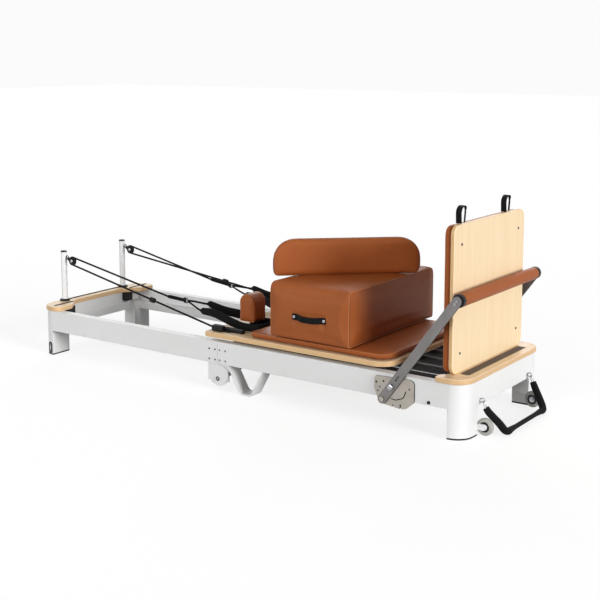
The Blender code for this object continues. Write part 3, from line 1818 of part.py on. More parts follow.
def footbarTube():
    """The steel tube between the arms, with an end ring each side and its four bolts."""
    end = armInner - touchGap
    ring = halfWidth - sleeveInset + touchGap
    profile = [
        (0.0, end),
        (ringRadius, end),
        (ringRadius, ring),
        (tubeRadius, ring),
        (tubeRadius, -ring),
        (ringRadius, -ring),
        (ringRadius, -end),
        (0.0, -end),
    ]
    body = turned(profile, (barX, 0.0, barZ), (0, 1, 0), 16)
    bolts = []
    for side in (-1, 1):
        for distance in (armReach, armReach - armBoltStep):
            x, z = onArm(distance)
            outer = armOuter + touchGap + armBoltHead
            shankEnd = outer - armBoltHead / 2
            bolts.append(
                cylinder(
                    (x, side * (end - 0.004 + shankEnd) / 2, z),
                    armBoltRadius,
                    shankEnd - end + 0.004,
                    (0, 1, 0),
                    8,
                )
            )
            bolts.append(
                cylinder(
                    (x, side * (outer - armBoltHead / 2), z),
                    armBoltRadius * 1.8,
                    armBoltHead,
                    (0, 1, 0),
                    8,
                )
            )
    return combine(body, bolts)


def footbarSleeve():
    """The soft grip, a tube over the steel one."""
    half = halfWidth - sleeveInset
    bore = tubeRadius + clearance
    profile = [
        (bore, half),
        (sleeveRadius - 0.004, half),
        (sleeveRadius, half - 0.004),
        (sleeveRadius, -half + 0.004),
        (sleeveRadius - 0.004, -half),
        (bore, -half),
    ]
    return turned(profile, (barX, 0.0, barZ), (0, 1, 0), 20)


def lockPin(side):
    """A pull knob outside the arm with a pin through the arm, up to the bracket's face."""
    x, z = onArm(lockDistance)
    pinEnd = armInner
    knobStart = armOuter + touchGap
    knobEnd = knobStart + lockKnobLength
    shaft = cylinder(
        (x, side * (pinEnd + knobStart + 0.003) / 2, z),
        lockPinRadius,
        knobStart + 0.003 - pinEnd,
        (0, 1, 0),
        12,
    )
    knob = cylinder(
        (x, side * (knobStart + knobEnd) / 2, z), lockRadius, lockKnobLength, (0, 1, 0), 12, 0.0025
    )
    return combine(knob, [shaft])


for side, name in ((-1, "near"), (1, "far")):
    pivot = (pivotX, side * (armInner + armOuter) / 2, pivotHeight)
    finish(footbarBracket(side), "footbar_bracket_" + name, "stainless")
    finish(footbarArm(side), "footbar_arm_" + name, "armGrey", pivot)
    pinX, pinZ = onArm(lockDistance)
    finish(lockPin(side), "lock_pin_" + name, "chrome", (pinX, side * armOuter, pinZ))
finish(footbarTube(), "footbar_tube", "blackSteel", (barX, 0.0, barZ))
finish(footbarSleeve(), "footbar_sleeve", "leather", (barX, 0.0, barZ))

print("foot end fittings")
wheelX = footEndX + wheelReach
for side, name in ((-1, "near"), (1, "far")):
    wheelY = side * (halfWidth - legWidth - wheelTabThick - wheelGap - wheelWidth / 2)
    profile = [
        (wheelAxle + clearance, wheelWidth / 2),
        (wheelRadius - 0.003, wheelWidth / 2),
        (wheelRadius, wheelWidth / 2 - 0.003),
        (wheelRadius, -wheelWidth / 2 + 0.003),
        (wheelRadius - 0.003, -wheelWidth / 2),
        (wheelAxle + clearance, -wheelWidth / 2),
    ]
    centre = (wheelX, wheelY, wheelCentreHeight)
    finish(turned(profile, centre, (0, 1, 0), 20), "transport_wheel_" + name, "tyreGrey", centre)
    eyeY = side * eyeSpacing / 2
    shank = cylinder(
        (footEndX + (eyeReach - eyeRingRadius) / 2 - 0.006, eyeY, eyeHeight),
        eyeShank,
        eyeReach - eyeRingRadius + 0.012,
        (1, 0, 0),
        12,
    )
    ring = eyeRing((footEndX + eyeReach, eyeY, eyeHeight))
    finish(combine(ring, [shank]), "eye_bolt_" + name, "chrome")


def pullHandle():
    """A padded strap with a wire link at each end that hangs in an eye bolt."""
    eyeX = footEndX + eyeReach
    lean = math.radians(linkDroop)
    halfSpan = eyeSpacing / 2
    # the link hangs with its wire against the inside of the eye's ring
    sag = eyeRingRadius * math.cos(math.pi / eyeRingSides) - eyeWire - linkWire - touchGap
    links = []
    for side in (-1, 1):
        route = [(x + sag, y, 0.0) for x, y in stadium(linkLength, linkHalf)]
        link = tube(route, linkWire, 1, cyclic=True)
        links.append(placeInPlane(link, (eyeX, side * halfSpan, eyeHeight), lean))
    reach = sag + linkLength + 2 * linkHalf
    startX = eyeX + reach * math.cos(lean)
    startZ = eyeHeight - reach * math.sin(lean)
    cornerX = footEndX + handleReach
    cornerY = halfWidth - handleCornerInset
    plan = [
        (startX - 0.002, halfSpan, startZ + 0.004, handleEndRadius),
        (startX + 0.006, halfSpan - 0.004, startZ - 0.010, handleRadius * 0.95),
        (cornerX - 0.024, cornerY + 0.018, handleLow + 0.032, handleRadius),
        (cornerX - 0.006, cornerY + 0.006, handleLow + 0.006, handleRadius),
        (cornerX, cornerY - 0.008, handleLow, handleRadius),
        (cornerX, cornerY - 0.040, handleLow, handleRadius * 0.85),
        (cornerX, cornerY - 0.080, handleLow, handleNeck),
    ]
    route = [(x, -y, z) for x, y, z, radius in plan]
    route += [(x, y, z) for x, y, z, radius in reversed(plan)]
    radii = [radius / handleRadius for x, y, z, radius in plan]
    grip = tube(route, handleRadius, 2, radii + list(reversed(radii)))
    return combine(grip, links)


finish(pullHandle(), "pull_handle", "webbing", (footEndX + eyeReach, 0.0, eyeHeight))

for helper in list(cutterCollection.objects):
    bpy.data.objects.remove(helper, do_unlink=True)
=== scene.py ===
import json
import math

import bmesh
import bpy
from mathutils import Matrix, Vector
from mathutils.bvhtree import BVHTree


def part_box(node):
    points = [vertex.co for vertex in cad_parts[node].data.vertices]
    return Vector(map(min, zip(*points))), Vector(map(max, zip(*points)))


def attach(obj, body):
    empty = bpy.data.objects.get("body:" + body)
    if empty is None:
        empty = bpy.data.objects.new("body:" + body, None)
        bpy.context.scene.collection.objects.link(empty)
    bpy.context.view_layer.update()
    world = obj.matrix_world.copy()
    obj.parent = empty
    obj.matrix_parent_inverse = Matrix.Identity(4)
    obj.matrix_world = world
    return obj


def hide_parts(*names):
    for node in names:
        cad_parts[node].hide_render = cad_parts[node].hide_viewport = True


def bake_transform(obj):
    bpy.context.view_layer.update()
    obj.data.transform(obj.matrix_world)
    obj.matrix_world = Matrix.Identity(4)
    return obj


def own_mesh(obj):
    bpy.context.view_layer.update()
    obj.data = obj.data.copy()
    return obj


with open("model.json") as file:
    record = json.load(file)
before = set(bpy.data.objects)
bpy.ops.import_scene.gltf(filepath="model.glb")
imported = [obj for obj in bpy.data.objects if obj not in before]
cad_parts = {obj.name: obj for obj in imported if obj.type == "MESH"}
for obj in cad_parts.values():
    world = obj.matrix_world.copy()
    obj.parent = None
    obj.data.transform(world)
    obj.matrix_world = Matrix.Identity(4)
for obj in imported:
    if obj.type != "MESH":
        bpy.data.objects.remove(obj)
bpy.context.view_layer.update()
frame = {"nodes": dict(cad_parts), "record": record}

# the reformer's own places, in metres: X runs to the foot end, the near side is at -Y
layout = {
    "footEnd": 1.09125,
    "halfWidth": 0.340,
    "seam": -0.09875,
    "hingeZ": 0.052,
    "boardTop": 0.2384,
    "ropeY": 0.203,
    "sheave": (-1.11402, 0.44077),
    "sheaveRadius": 0.0185,
    "post": -1.17375,
    "bar": (1.0581, 0.5406),
    "jumpFace": 1.01925,
    "loopFoot": 0.8142,
    "restX": (-0.07475, 0.00525),
    "restY": 0.171,
}
sides = {"near": -1, "far": 1}
up, fullTurn = Vector((0, 0, 1)), 2 * math.pi


def linked(name, data):
    obj = bpy.data.objects.new(name, data)
    bpy.context.scene.collection.objects.link(obj)
    return obj


print("camera")
camera = {
    "place": (3.0299, -4.1551, 1.4732),
    "pitch": 81.7857,
    "heading": 35.2099,
    "lens": 70.34,
    "sensor": 36.0,
    "shiftY": -0.14,
}
viewer = linked("photo_camera", bpy.data.cameras.new("photo_camera"))
viewer.location = camera["place"]
viewer.rotation_euler = (math.radians(camera["pitch"]), 0.0, math.radians(camera["heading"]))
viewer.data.lens = camera["lens"]
viewer.data.sensor_width = camera["sensor"]
viewer.data.shift_y = camera["shiftY"]
bpy.context.scene.camera = viewer
bpy.context.scene.view_settings.view_transform = "Standard"


def smoothPath(points, per, closed=False):
    # a curve through all the points that doesn't swing out where they stand unevenly
    marks = [Vector(point) for point in points]
    count = len(marks)
    route = []
    for index in range(count if closed else count - 1):
        here, there = marks[index], marks[(index + 1) % count]
        before = marks[index - 1] if closed or index else here * 2 - there
        after = marks[(index + 2) % count] if closed or index + 2 < count else there * 2 - here
        pairs = ((before, here), (here, there), (there, after))
        first, gap, last = [max((b - a).length ** 0.5, 1e-4) for a, b in pairs]
        leave = (there - here) + gap * ((here - before) / first - (there - before) / (first + gap))
        reach = (there - here) + gap * ((after - there) / last - (after - here) / (gap + last))
        for step in range(per):
            t = step / per
            route.append(
                here * (2 * t**3 - 3 * t**2 + 1)
                + leave * (t**3 - 2 * t**2 + t)
                + there * (3 * t**2 - 2 * t**3)
                + reach * (t**3 - t**2)
            )
    if not closed:
        route.append(marks[-1])
    return route


def rounded(corners, radii, steps):
    # a closed outline in a plane with its corners turned into arcs
    count = len(corners)
    sizes = radii if isinstance(radii, list) else [radii] * count
    outline = []
    for index, size in enumerate(sizes):
        here = Vector(corners[index])
        before = (Vector(corners[index - 1]) - here).normalized()
        after = (Vector(corners[(index + 1) % count]) - here).normalized()
        if size <= 0.0:
            outline.append(tuple(here))
            continue
        half = before.angle(after) / 2
        reach = size / math.tan(half)
        centre = here + (before + after).normalized() * (size / math.sin(half))
        first = here + before * reach - centre
        turn = first.angle_signed(here + after * reach - centre)
        for step in range(steps + 1):
            outline.append(tuple(centre + Matrix.Rotation(-turn * step / steps, 2) @ first))
    return outline


def roundedBox(low, high, radii, steps):
    # the radii go round from the corner at low
    (left, bottom), (right, top) = low, high
    return rounded([(left, bottom), (right, bottom), (right, top), (left, top)], radii, steps)


def circle(steps):
    angles = [fullTurn * step / steps for step in range(steps)]
    return [(math.cos(angle), math.sin(angle)) for angle in angles]


def mirrored(half, *middle):
    # a lathe's whole profile from its first half
    return half + list(middle) + [(radius, -height) for radius, height in reversed(half)]


def smoothed(mesh, angle=38):
    mesh.shade_smooth()
    mesh.set_sharp_from_angle(angle=math.radians(angle))
    return mesh


def meshFrom(body, angle=38):
    bmesh.ops.recalc_face_normals(body, faces=body.faces)
    mesh = bpy.data.meshes.new("part")
    body.to_mesh(mesh)
    body.free()
    if "custom_normal" in mesh.attributes:
        mesh.attributes.remove(mesh.attributes["custom_normal"])
    return smoothed(mesh, angle)


def joined(meshes):
    body = bmesh.new()
    for mesh in meshes:
        body.from_mesh(mesh)
    made = bpy.data.meshes.new("part")
    body.to_mesh(made)
    body.free()
    return smoothed(made)


def vertsIn(items):
    return [item for item in items if isinstance(item, bmesh.types.BMVert)]


def edgesIn(items):
    return [item for item in items if isinstance(item, bmesh.types.BMEdge)]


def wire(points, radius, closed=False, sides=10):
    # a round bar or cord along a route
    curve = bpy.data.curves.new("wire", "CURVE")
    curve.dimensions = "3D"
    curve.bevel_depth = radius
    curve.bevel_resolution = (sides - 4) // 2
    curve.use_fill_caps = not closed
    spline = curve.splines.new("POLY")
    spline.points.add(len(points) - 1)
    for mark, point in zip(spline.points, points):
        mark.co = (*point, 1.0)
        mark.radius = 1.0
    spline.use_cyclic_u = closed
    holder = linked("wire", curve)
    graph = bpy.context.evaluated_depsgraph_get()
    mesh = bpy.data.meshes.new_from_object(holder.evaluated_get(graph))
    bpy.data.objects.remove(holder)
    body = bmesh.new()
    body.from_mesh(mesh)
    bmesh.ops.remove_doubles(body, verts=body.verts, dist=0.00001)
    return meshFrom(body, 50)


def lathe(profile, centre, axis, steps):
    # the profile's pairs are radius and height along the axis
    body = bmesh.new()
    verts = [body.verts.new((radius, 0.0, height)) for radius, height in profile]
    edges = [body.edges.new(pair) for pair in zip(verts, verts[1:])]
    if profile[0][0] > 0.0 and profile[-1][0] > 0.0:
        edges.append(body.edges.new((verts[-1], verts[0])))
    bmesh.ops.spin(
        body,
        geom=verts + edges,
        cent=(0, 0, 0),
        axis=up,
        angle=fullTurn,
        steps=steps,
        use_merge=True,
        use_duplicate=False,
    )
    bmesh.ops.remove_doubles(body, verts=body.verts, dist=0.00002)
    bmesh.ops.dissolve_degenerate(body, dist=0.000005, edges=body.edges)
    turn = up.rotation_difference(Vector(axis)).to_matrix().to_4x4()
    bmesh.ops.transform(body, matrix=Matrix.Translation(centre) @ turn, verts=body.verts)
    return meshFrom(body)


def slab(outline, low, high, bevel):
    # a flat outline between two heights, with its edges eased
    body = bmesh.new()
    verts = [body.verts.new((u, v, low)) for u, v in outline]
    face = bmesh.ops.contextual_create(body, geom=verts)["faces"][0]
    made = bmesh.ops.extrude_face_region(body, geom=[face])
    bmesh.ops.translate(body, vec=(0, 0, high - low), verts=vertsIn(made["geom"]))
    paired = [edge for edge in body.edges if len(edge.link_faces) == 2]
    rim = [edge for edge in paired if edge.calc_face_angle() > 1.0]
    bmesh.ops.bevel(
        body,
        geom=rim,
        offset=bevel,
        affect="EDGES",
        segments=2,
        profile=0.5,
        material=-1,
    )
    return meshFrom(body)


def sweep(outline, stations, closed=False):
    # carries an outline along stations of place, width direction, width and height;
    # its UV map runs round the outline and along the route, in metres
    count = len(stations)
    matrices = []
    for index, (at, across, wide, tall) in enumerate(stations):
        ahead = stations[(index + 1) % count if closed else min(index + 1, count - 1)][0]
        behind = stations[index - 1 if closed else max(index - 1, 0)][0]
        along = (Vector(ahead) - Vector(behind)).normalized()
        broad = Vector(across)
        broad = (broad - along * broad.dot(along)).normalized()
        rise = along.cross(broad)
        turn = Matrix((broad * wide, rise * tall, along)).transposed().to_4x4()
        matrices.append(Matrix.Translation(Vector(at)) @ turn)
    body = bmesh.new()
    aroundLayer = body.verts.layers.float.new("around")
    alongLayer = body.verts.layers.float.new("along")
    ring = [body.verts.new((u, v, 0.0)) for u, v in outline]
    edges = [body.edges.new(pair) for pair in zip(ring, ring[1:] + ring[:1])]
    wide, tall = stations[0][2:]
    perimeter = 0.0
    for vert, after in zip(ring, ring[1:] + ring[:1]):
        vert[aroundLayer] = perimeter
        step = after.co - vert.co
        perimeter += Vector((step.x * wide, step.y * tall)).length
    bmesh.ops.transform(body, matrix=matrices[0], verts=ring)
    firstEdges, length = edges, 0.0
    for before, matrix in zip(matrices, matrices[1:]):
        made = bmesh.ops.extrude_edge_only(body, edges=edges)["geom"]
        ring = vertsIn(made)
        edges = [edge for edge in edgesIn(made) if all(vert in ring for vert in edge.verts)]
        bmesh.ops.transform(body, matrix=matrix @ before.inverted(), verts=ring)
        length += (matrix.translation - before.translation).length
        for vert in ring:
            vert[alongLayer] = length
    if closed:
        bmesh.ops.bridge_loops(body, edges=firstEdges + edges)
        length += (matrices[0].translation - matrices[-1].translation).length
    else:
        bmesh.ops.contextual_create(body, geom=firstEdges)
        bmesh.ops.contextual_create(body, geom=edges)
    layer = body.loops.layers.uv.new("UVMap")
    for face in body.faces:
        most = max(loop.vert[aroundLayer] for loop in face.loops)
        farthest = max(loop.vert[alongLayer] for loop in face.loops)
        for loop in face.loops:
            u, v = loop.vert[aroundLayer], loop.vert[alongLayer]
            if most - u > perimeter * 0.5:
                u += perimeter
            if closed and farthest - v > length * 0.5:
                v += length
            loop[layer].uv = (u, v)
    return meshFrom(body)


def banded(marks, per, across, closed=False):
    # a sweep's stations on a smooth path through marks of x, y, z, width and height
    sizes = [mark[3:] for mark in marks]
    stations = []
    for index, point in enumerate(smoothPath([mark[:3] for mark in marks], per, closed)):
        pair = zip(sizes[index // per], sizes[(index // per + 1) % len(sizes)])
        share = index % per / per
        stations.append((point, across, *[a + (b - a) * share for a, b in pair]))
    return stations


strapOutline = roundedBox((-0.5, -0.5), (0.5, 0.5), 0.12, 3)
padOutline = roundedBox((-0.5, -0.5), (0.5, 0.5), 0.42, 5)


def tone(code):
    channels = [int(code[start : start + 2], 16) / 255 for start in (0, 2, 4)]
    linear = [c / 12.92 if c <= 0.04045 else ((c + 0.055) / 1.055) ** 2.4 for c in channels]
    return (*linear, 1.0)


def put(tree, kind, feeds=None, **settings):
    # adds a node: settings are its own choices, feeds are values or links for its sockets
    node = tree.nodes.new("ShaderNode" + kind)
    for name, value in settings.items():
        setattr(node, name, value)
    for name, value in (feeds or {}).items():
        if isinstance(value, bpy.types.NodeSocket):
            tree.links.new(value, node.inputs[name])
        else:
            node.inputs[name].default_value = value
    return node


def mixed(tree, factor, first, second):
    return put(tree, "Mix", {0: factor, 6: first, 7: second}, data_type="RGBA").outputs[2]


def ranged(tree, value, toLow, toHigh, low=0.0, high=1.0):
    feeds = {"Value": value, "From Min": low, "From Max": high, "To Min": toLow, "To Max": toHigh}
    return put(tree, "MapRange", feeds).outputs[0]


def maths(tree, operation, *values):
    return put(tree, "Math", dict(enumerate(values)), operation=operation).outputs[0]


def clamped(tree, value):
    return put(tree, "Clamp", {"Value": value}).outputs[0]


def noise(tree, where, scale, detail, **more):
    feeds = {"Vector": where, "Scale": scale, "Detail": detail, **more}
    return put(tree, "TexNoise", feeds).outputs


def axes(tree, where):
    return put(tree, "SeparateXYZ", {0: where}).outputs


def mapped(tree, where, **feeds):
    return put(tree, "Mapping", {"Vector": where, **feeds}).outputs[0]


def newGroup(name, inputs, outputs):
    # inputs without a value and outputs named Normal are vectors, the others are numbers
    group = bpy.data.node_groups.new(name, "ShaderNodeTree")
    number, vector = "NodeSocketFloat", "NodeSocketVector"
    for label, value in inputs.items():
        kind = vector if value is None else number
        made = group.interface.new_socket(label, in_out="INPUT", socket_type=kind)
        if value is not None:
            made.default_value = value
    for label in outputs:
        kind = vector if label == "Normal" else number
        group.interface.new_socket(label, in_out="OUTPUT", socket_type=kind)
    taken, given = group.nodes.new("NodeGroupInput"), group.nodes.new("NodeGroupOutput")
    return group, taken.outputs, given.inputs


def give(group, given, **values):
    for label, value in values.items():
        group.links.new(value, given[label])


def groupNode(tree, group, **feeds):
    return put(tree, "Group", feeds, node_tree=group).outputs


# uneven tone over a surface, from 0 to 1 about a half
inputs = {"Vector": None, "Scale": 5.0, "Contrast": 2.0}
toneDrift, taken, given = newGroup("tone drift", inputs, ["Value"])
broadNoise = noise(toneDrift, taken["Vector"], taken["Scale"], 4.0, Roughness=0.6)[0]
centred = maths(toneDrift, "SUBTRACT", broadNoise, 0.5)
spread = maths(toneDrift, "MULTIPLY_ADD", centred, taken["Contrast"], 0.5)
give(toneDrift, given, Value=clamped(toneDrift, spread))

# the worn band along edges, and a normal rounded over them
edgeBand, taken, given = newGroup("edge band", {"Radius": 0.002, "Gain": 3.0}, ["Mask", "Normal"])
roundNormal = put(edgeBand, "Bevel", {"Radius": taken["Radius"]}, samples=4).outputs[0]
plainNormal = put(edgeBand, "NewGeometry").outputs["Normal"]
meeting = put(edgeBand, "VectorMath", {0: roundNormal, 1: plainNormal}, operation="DOT_PRODUCT")
turnedAway = maths(edgeBand, "SUBTRACT", 1.0, meeting.outputs["Value"])
turnedAway = maths(edgeBand, "MULTIPLY", turnedAway, taken["Gain"])
give(edgeBand, given, Mask=clamped(edgeBand, turnedAway), Normal=roundNormal)

# pebbled hide: cells with fine creases between them, and slow ripples; the creases also come out as
# a mask that paints shade into them
inputs = {"Vector": None, "Scale": 700.0}
hideGrain, taken, given = newGroup("hide grain", inputs, ["Height", "Crease"])
bent = noise(hideGrain, taken["Vector"], 60.0, 2.0)[1]
feeds = {"Vector": mixed(hideGrain, 0.004, taken["Vector"], bent), "Scale": taken["Scale"]}
cells = put(hideGrain, "TexVoronoi", feeds, feature="DISTANCE_TO_EDGE").outputs[0]
pebble = ranged(hideGrain, cells, 0.0, 1.0, high=0.25)
ripple = noise(hideGrain, taken["Vector"], 26.0, 3.0)[0]
give(
    hideGrain,
    given,
    Height=maths(hideGrain, "MULTIPLY_ADD", ripple, 1.6, pebble),
    Crease=ranged(hideGrain, cells, 1.0, 0.0, high=0.12),
)

# boards glued from strips, with their grain along X of the vector
inputs = {"Vector": None, "Strip": 0.045}
boardGrain, taken, given = newGroup("board grain", inputs, ["Shade", "Grain", "Pores"])
acrossBoard = maths(boardGrain, "DIVIDE", axes(boardGrain, taken["Vector"])["Y"], taken["Strip"])
strip = {"W": maths(boardGrain, "FLOOR", acrossBoard)}
stripShade = put(boardGrain, "TexWhiteNoise", strip, noise_dimensions="1D").outputs[0]
shift = maths(boardGrain, "MULTIPLY", stripShade, 7.0)
shift = put(boardGrain, "CombineXYZ", {0: shift}).outputs[0]
long = mapped(boardGrain, taken["Vector"], Location=shift, Scale=(1.0, 22.0, 22.0))
figure = noise(boardGrain, long, 3.2, 5.0, Distortion=0.35)[0]
fine = mapped(boardGrain, taken["Vector"], Scale=(40.0, 1300.0, 1300.0))
pores = noise(boardGrain, fine, 1.0, 1.0)[0]
give(
    boardGrain,
    given,
    Shade=stripShade,
    Grain=ranged(boardGrain, figure, 0.0, 1.0, 0.3, 0.7),
    Pores=ranged(boardGrain, pores, 0.0, 1.0, 0.62, 0.75),
)

# woven yarns: across and along are the yarns' pitches in the vector's unit; Shade rises with
# Height, painting the yarns' crowns lighter and the hollows darker as highlight and shade
inputs = {"Vector": None, "Across": 0.0012, "Along": 0.0016, "Slant": 0.0}
yarnWeave, taken, given = newGroup("yarn weave", inputs, ["Height", "Shade"])
parts = axes(yarnWeave, taken["Vector"])
slanted = maths(yarnWeave, "MULTIPLY_ADD", parts["Y"], taken["Slant"], parts["X"])
waves = []
for run, pitch in ((slanted, "Across"), (parts["Y"], "Along")):
    turns = maths(yarnWeave, "DIVIDE", run, taken[pitch])
    waves.append(maths(yarnWeave, "SINE", maths(yarnWeave, "MULTIPLY", turns, fullTurn)))
crossing = maths(yarnWeave, "MULTIPLY", *waves)
give(
    yarnWeave,
    given,
    Height=ranged(yarnWeave, crossing, 0.0, 1.0, -1.0),
    Shade=ranged(yarnWeave, crossing, 0.0, 1.0, -0.6),
)


def newLook(name, fixed):
    # a material with its Principled shader and the object's own coordinates
    made = bpy.data.materials.new(name)
    made.use_nodes = True
    tree = made.node_tree
    tree.nodes.clear()
    shader = put(tree, "BsdfPrincipled", fixed)
    put(tree, "OutputMaterial", {"Surface": shader.outputs[0]})
    return made, tree, shader, put(tree, "TexCoord").outputs


def dressed(made, shader, base, roughness, normal):
    for name, value in (("Base Color", base), ("Roughness", roughness), ("Normal", normal)):
        made.node_tree.links.new(value, shader.inputs[name])
    return made


def drift(tree, where, scale, contrast):
    return groupNode(tree, toneDrift, Vector=where, Scale=scale, Contrast=contrast)[0]


def over(tree, base, mask, share, code):
    # lays a tone over a base, up to a share where the mask is full
    return mixed(tree, maths(tree, "MULTIPLY", mask, share), base, tone(code))


def bumped(tree, height, distance, strength, normal=None):
    feeds = {"Height": height, "Distance": distance, "Strength": strength}
    if normal is not None:
        feeds["Normal"] = normal
    return put(tree, "Bump", feeds).outputs[0]


def hide(name, body="a25627", worn="b87440", dark="7e3d17", grain=650.0):
    made, tree, shader, coords = newLook(name, {"Specular IOR Level": 0.2})
    here = coords["Object"]
    quick = drift(tree, here, 38.0, 1.8)
    skin = groupNode(tree, hideGrain, Vector=here, Scale=grain)
    band = groupNode(tree, edgeBand, Radius=0.006, Gain=2.2)
    base = over(tree, tone(body), drift(tree, here, 3.0, 2.2), 0.30, dark)
    base = over(tree, base, quick, 0.16, worn)
    base = over(tree, base, band["Mask"], 0.45, worn)
    # the creases between the pebbles are painted darker, as shade
    base = over(tree, base, skin["Crease"], 0.22, dark)
    normal = bumped(tree, skin["Height"], 0.00022, 0.8)
    return dressed(made, shader, base, ranged(tree, quick, 0.39, 0.53), normal)


def paint(name, body, shaded, roughness=0.38, peel=0.00006, wear="c9c9c7"):
    made, tree, shader, coords = newLook(name, {"Specular IOR Level": 0.28})
    here = coords["Object"]
    speck = drift(tree, here, 220.0, 1.5)
    band = groupNode(tree, edgeBand, Radius=0.0022, Gain=3.0)
    base = mixed(tree, drift(tree, here, 4.0, 1.6), tone(body), tone(shaded))
    chipped = maths(tree, "MULTIPLY", band["Mask"], ranged(tree, speck, 0.1, 0.6, 0.3, 0.8))
    base = mixed(tree, chipped, base, tone(wear))
    rough = ranged(tree, speck, roughness - 0.05, roughness + 0.08)
    normal = bumped(tree, noise(tree, here, 520.0, 2.0)[0], peel, 0.7, band["Normal"])
    return dressed(made, shader, base, rough, normal)


def timber(name, turn, thickAxis, light, deep, edge):
    # glued boards: their faces show the grain, their edges the plies across the thick axis
    ply = 0.0044
    made, tree, shader, coords = newLook(name, {"Coat Weight": 0.12, "Coat Roughness": 0.25})
    laid = mapped(tree, coords["Object"], Rotation=[math.radians(angle) for angle in turn])
    grain = groupNode(tree, boardGrain, Vector=laid, Strip=0.046)
    band = groupNode(tree, edgeBand, Radius=0.0020, Gain=3.0)
    facing = maths(tree, "ABSOLUTE", axes(tree, coords["Normal"])[thickAxis])
    depth = axes(tree, coords["Object"])[thickAxis]
    layers = maths(tree, "SINE", maths(tree, "MULTIPLY", depth, fullTurn / ply))
    face = over(tree, tone(light), grain["Grain"], 0.42, deep)
    face = over(tree, face, grain["Shade"], 0.20, deep)
    face = over(tree, face, grain["Pores"], 0.22, "b98a56")
    side = mixed(tree, ranged(tree, layers, 0.0, 0.55, -0.4, 0.9), tone(edge), tone("b98551"))
    base = mixed(tree, ranged(tree, facing, 1.0, 0.0, 0.45, 0.6), face, side)
    base = over(tree, base, band["Mask"], 0.3, edge)
    normal = bumped(tree, grain["Pores"], -0.00008, 0.6, band["Normal"])
    return dressed(made, shader, base, ranged(tree, grain["Grain"], 0.42, 0.56), normal)


def metal(name, body, shaded, roughness, brushed=(1.0, 1.0, 1.0), metallic=1.0):
    made, tree, shader, coords = newLook(name, {"Metallic": metallic})
    here = coords["Object"]
    lines = noise(tree, mapped(tree, here, Scale=brushed), 420.0, 3.0)[0]
    band = groupNode(tree, edgeBand, Radius=0.0009, Gain=3.0)
    base = mixed(tree, drift(tree, here, 18.0, 2.0), tone(body), tone(shaded))
    base = over(tree, base, band["Mask"], 0.5, "e6e4e0")
    rough = ranged(tree, lines, roughness - 0.06, roughness + 0.08, 0.3, 0.7)
    normal = bumped(tree, lines, 0.00002, 0.5, band["Normal"])
    return dressed(made, shader, base, rough, normal)


def dull(name, body, shaded, roughness, grain=300.0, depth=0.00008, specular=0.4):
    made, tree, shader, coords = newLook(name, {"Specular IOR Level": specular})
    here = coords["Object"]
    texture = noise(tree, here, grain, 3.0)[0]
    band = groupNode(tree, edgeBand, Radius=0.0012, Gain=3.0)
    base = mixed(tree, drift(tree, here, 12.0, 2.0), tone(body), tone(shaded))
    base = over(tree, base, band["Mask"], 0.35, "6b6b6b")
    rough = ranged(tree, texture, roughness - 0.06, roughness + 0.08, 0.3, 0.7)
    normal = bumped(tree, texture, depth, 0.8, band["Normal"])
    return dressed(made, shader, base, rough, normal)


def woven(name, body, light, across, along, slant=0.0):
    fixed = {"Sheen Weight": 0.03, "Specular IOR Level": 0.12}
    made, tree, shader, coords = newLook(name, fixed)
    here = coords["Object"]
    feeds = {"Vector": coords["UV"], "Across": across, "Along": along, "Slant": slant}
    weave = groupNode(tree, yarnWeave, **feeds)
    fuzz = noise(tree, here, 1500.0, 2.0)[0]
    # the yarns' crowns take the lighter tone as painted highlight, the hollows the darker as
    # painted shade
    base = mixed(tree, weave["Shade"], tone(body), tone(light))
    base = over(tree, base, drift(tree, here, 30.0, 2.0), 0.3, body)
    height = maths(tree, "MULTIPLY_ADD", fuzz, 0.25, weave["Height"])
    rough = ranged(tree, fuzz, 0.72, 0.86, 0.3, 0.7)
    return dressed(made, shader, base, rough, bumped(tree, height, 0.0003, 0.8))


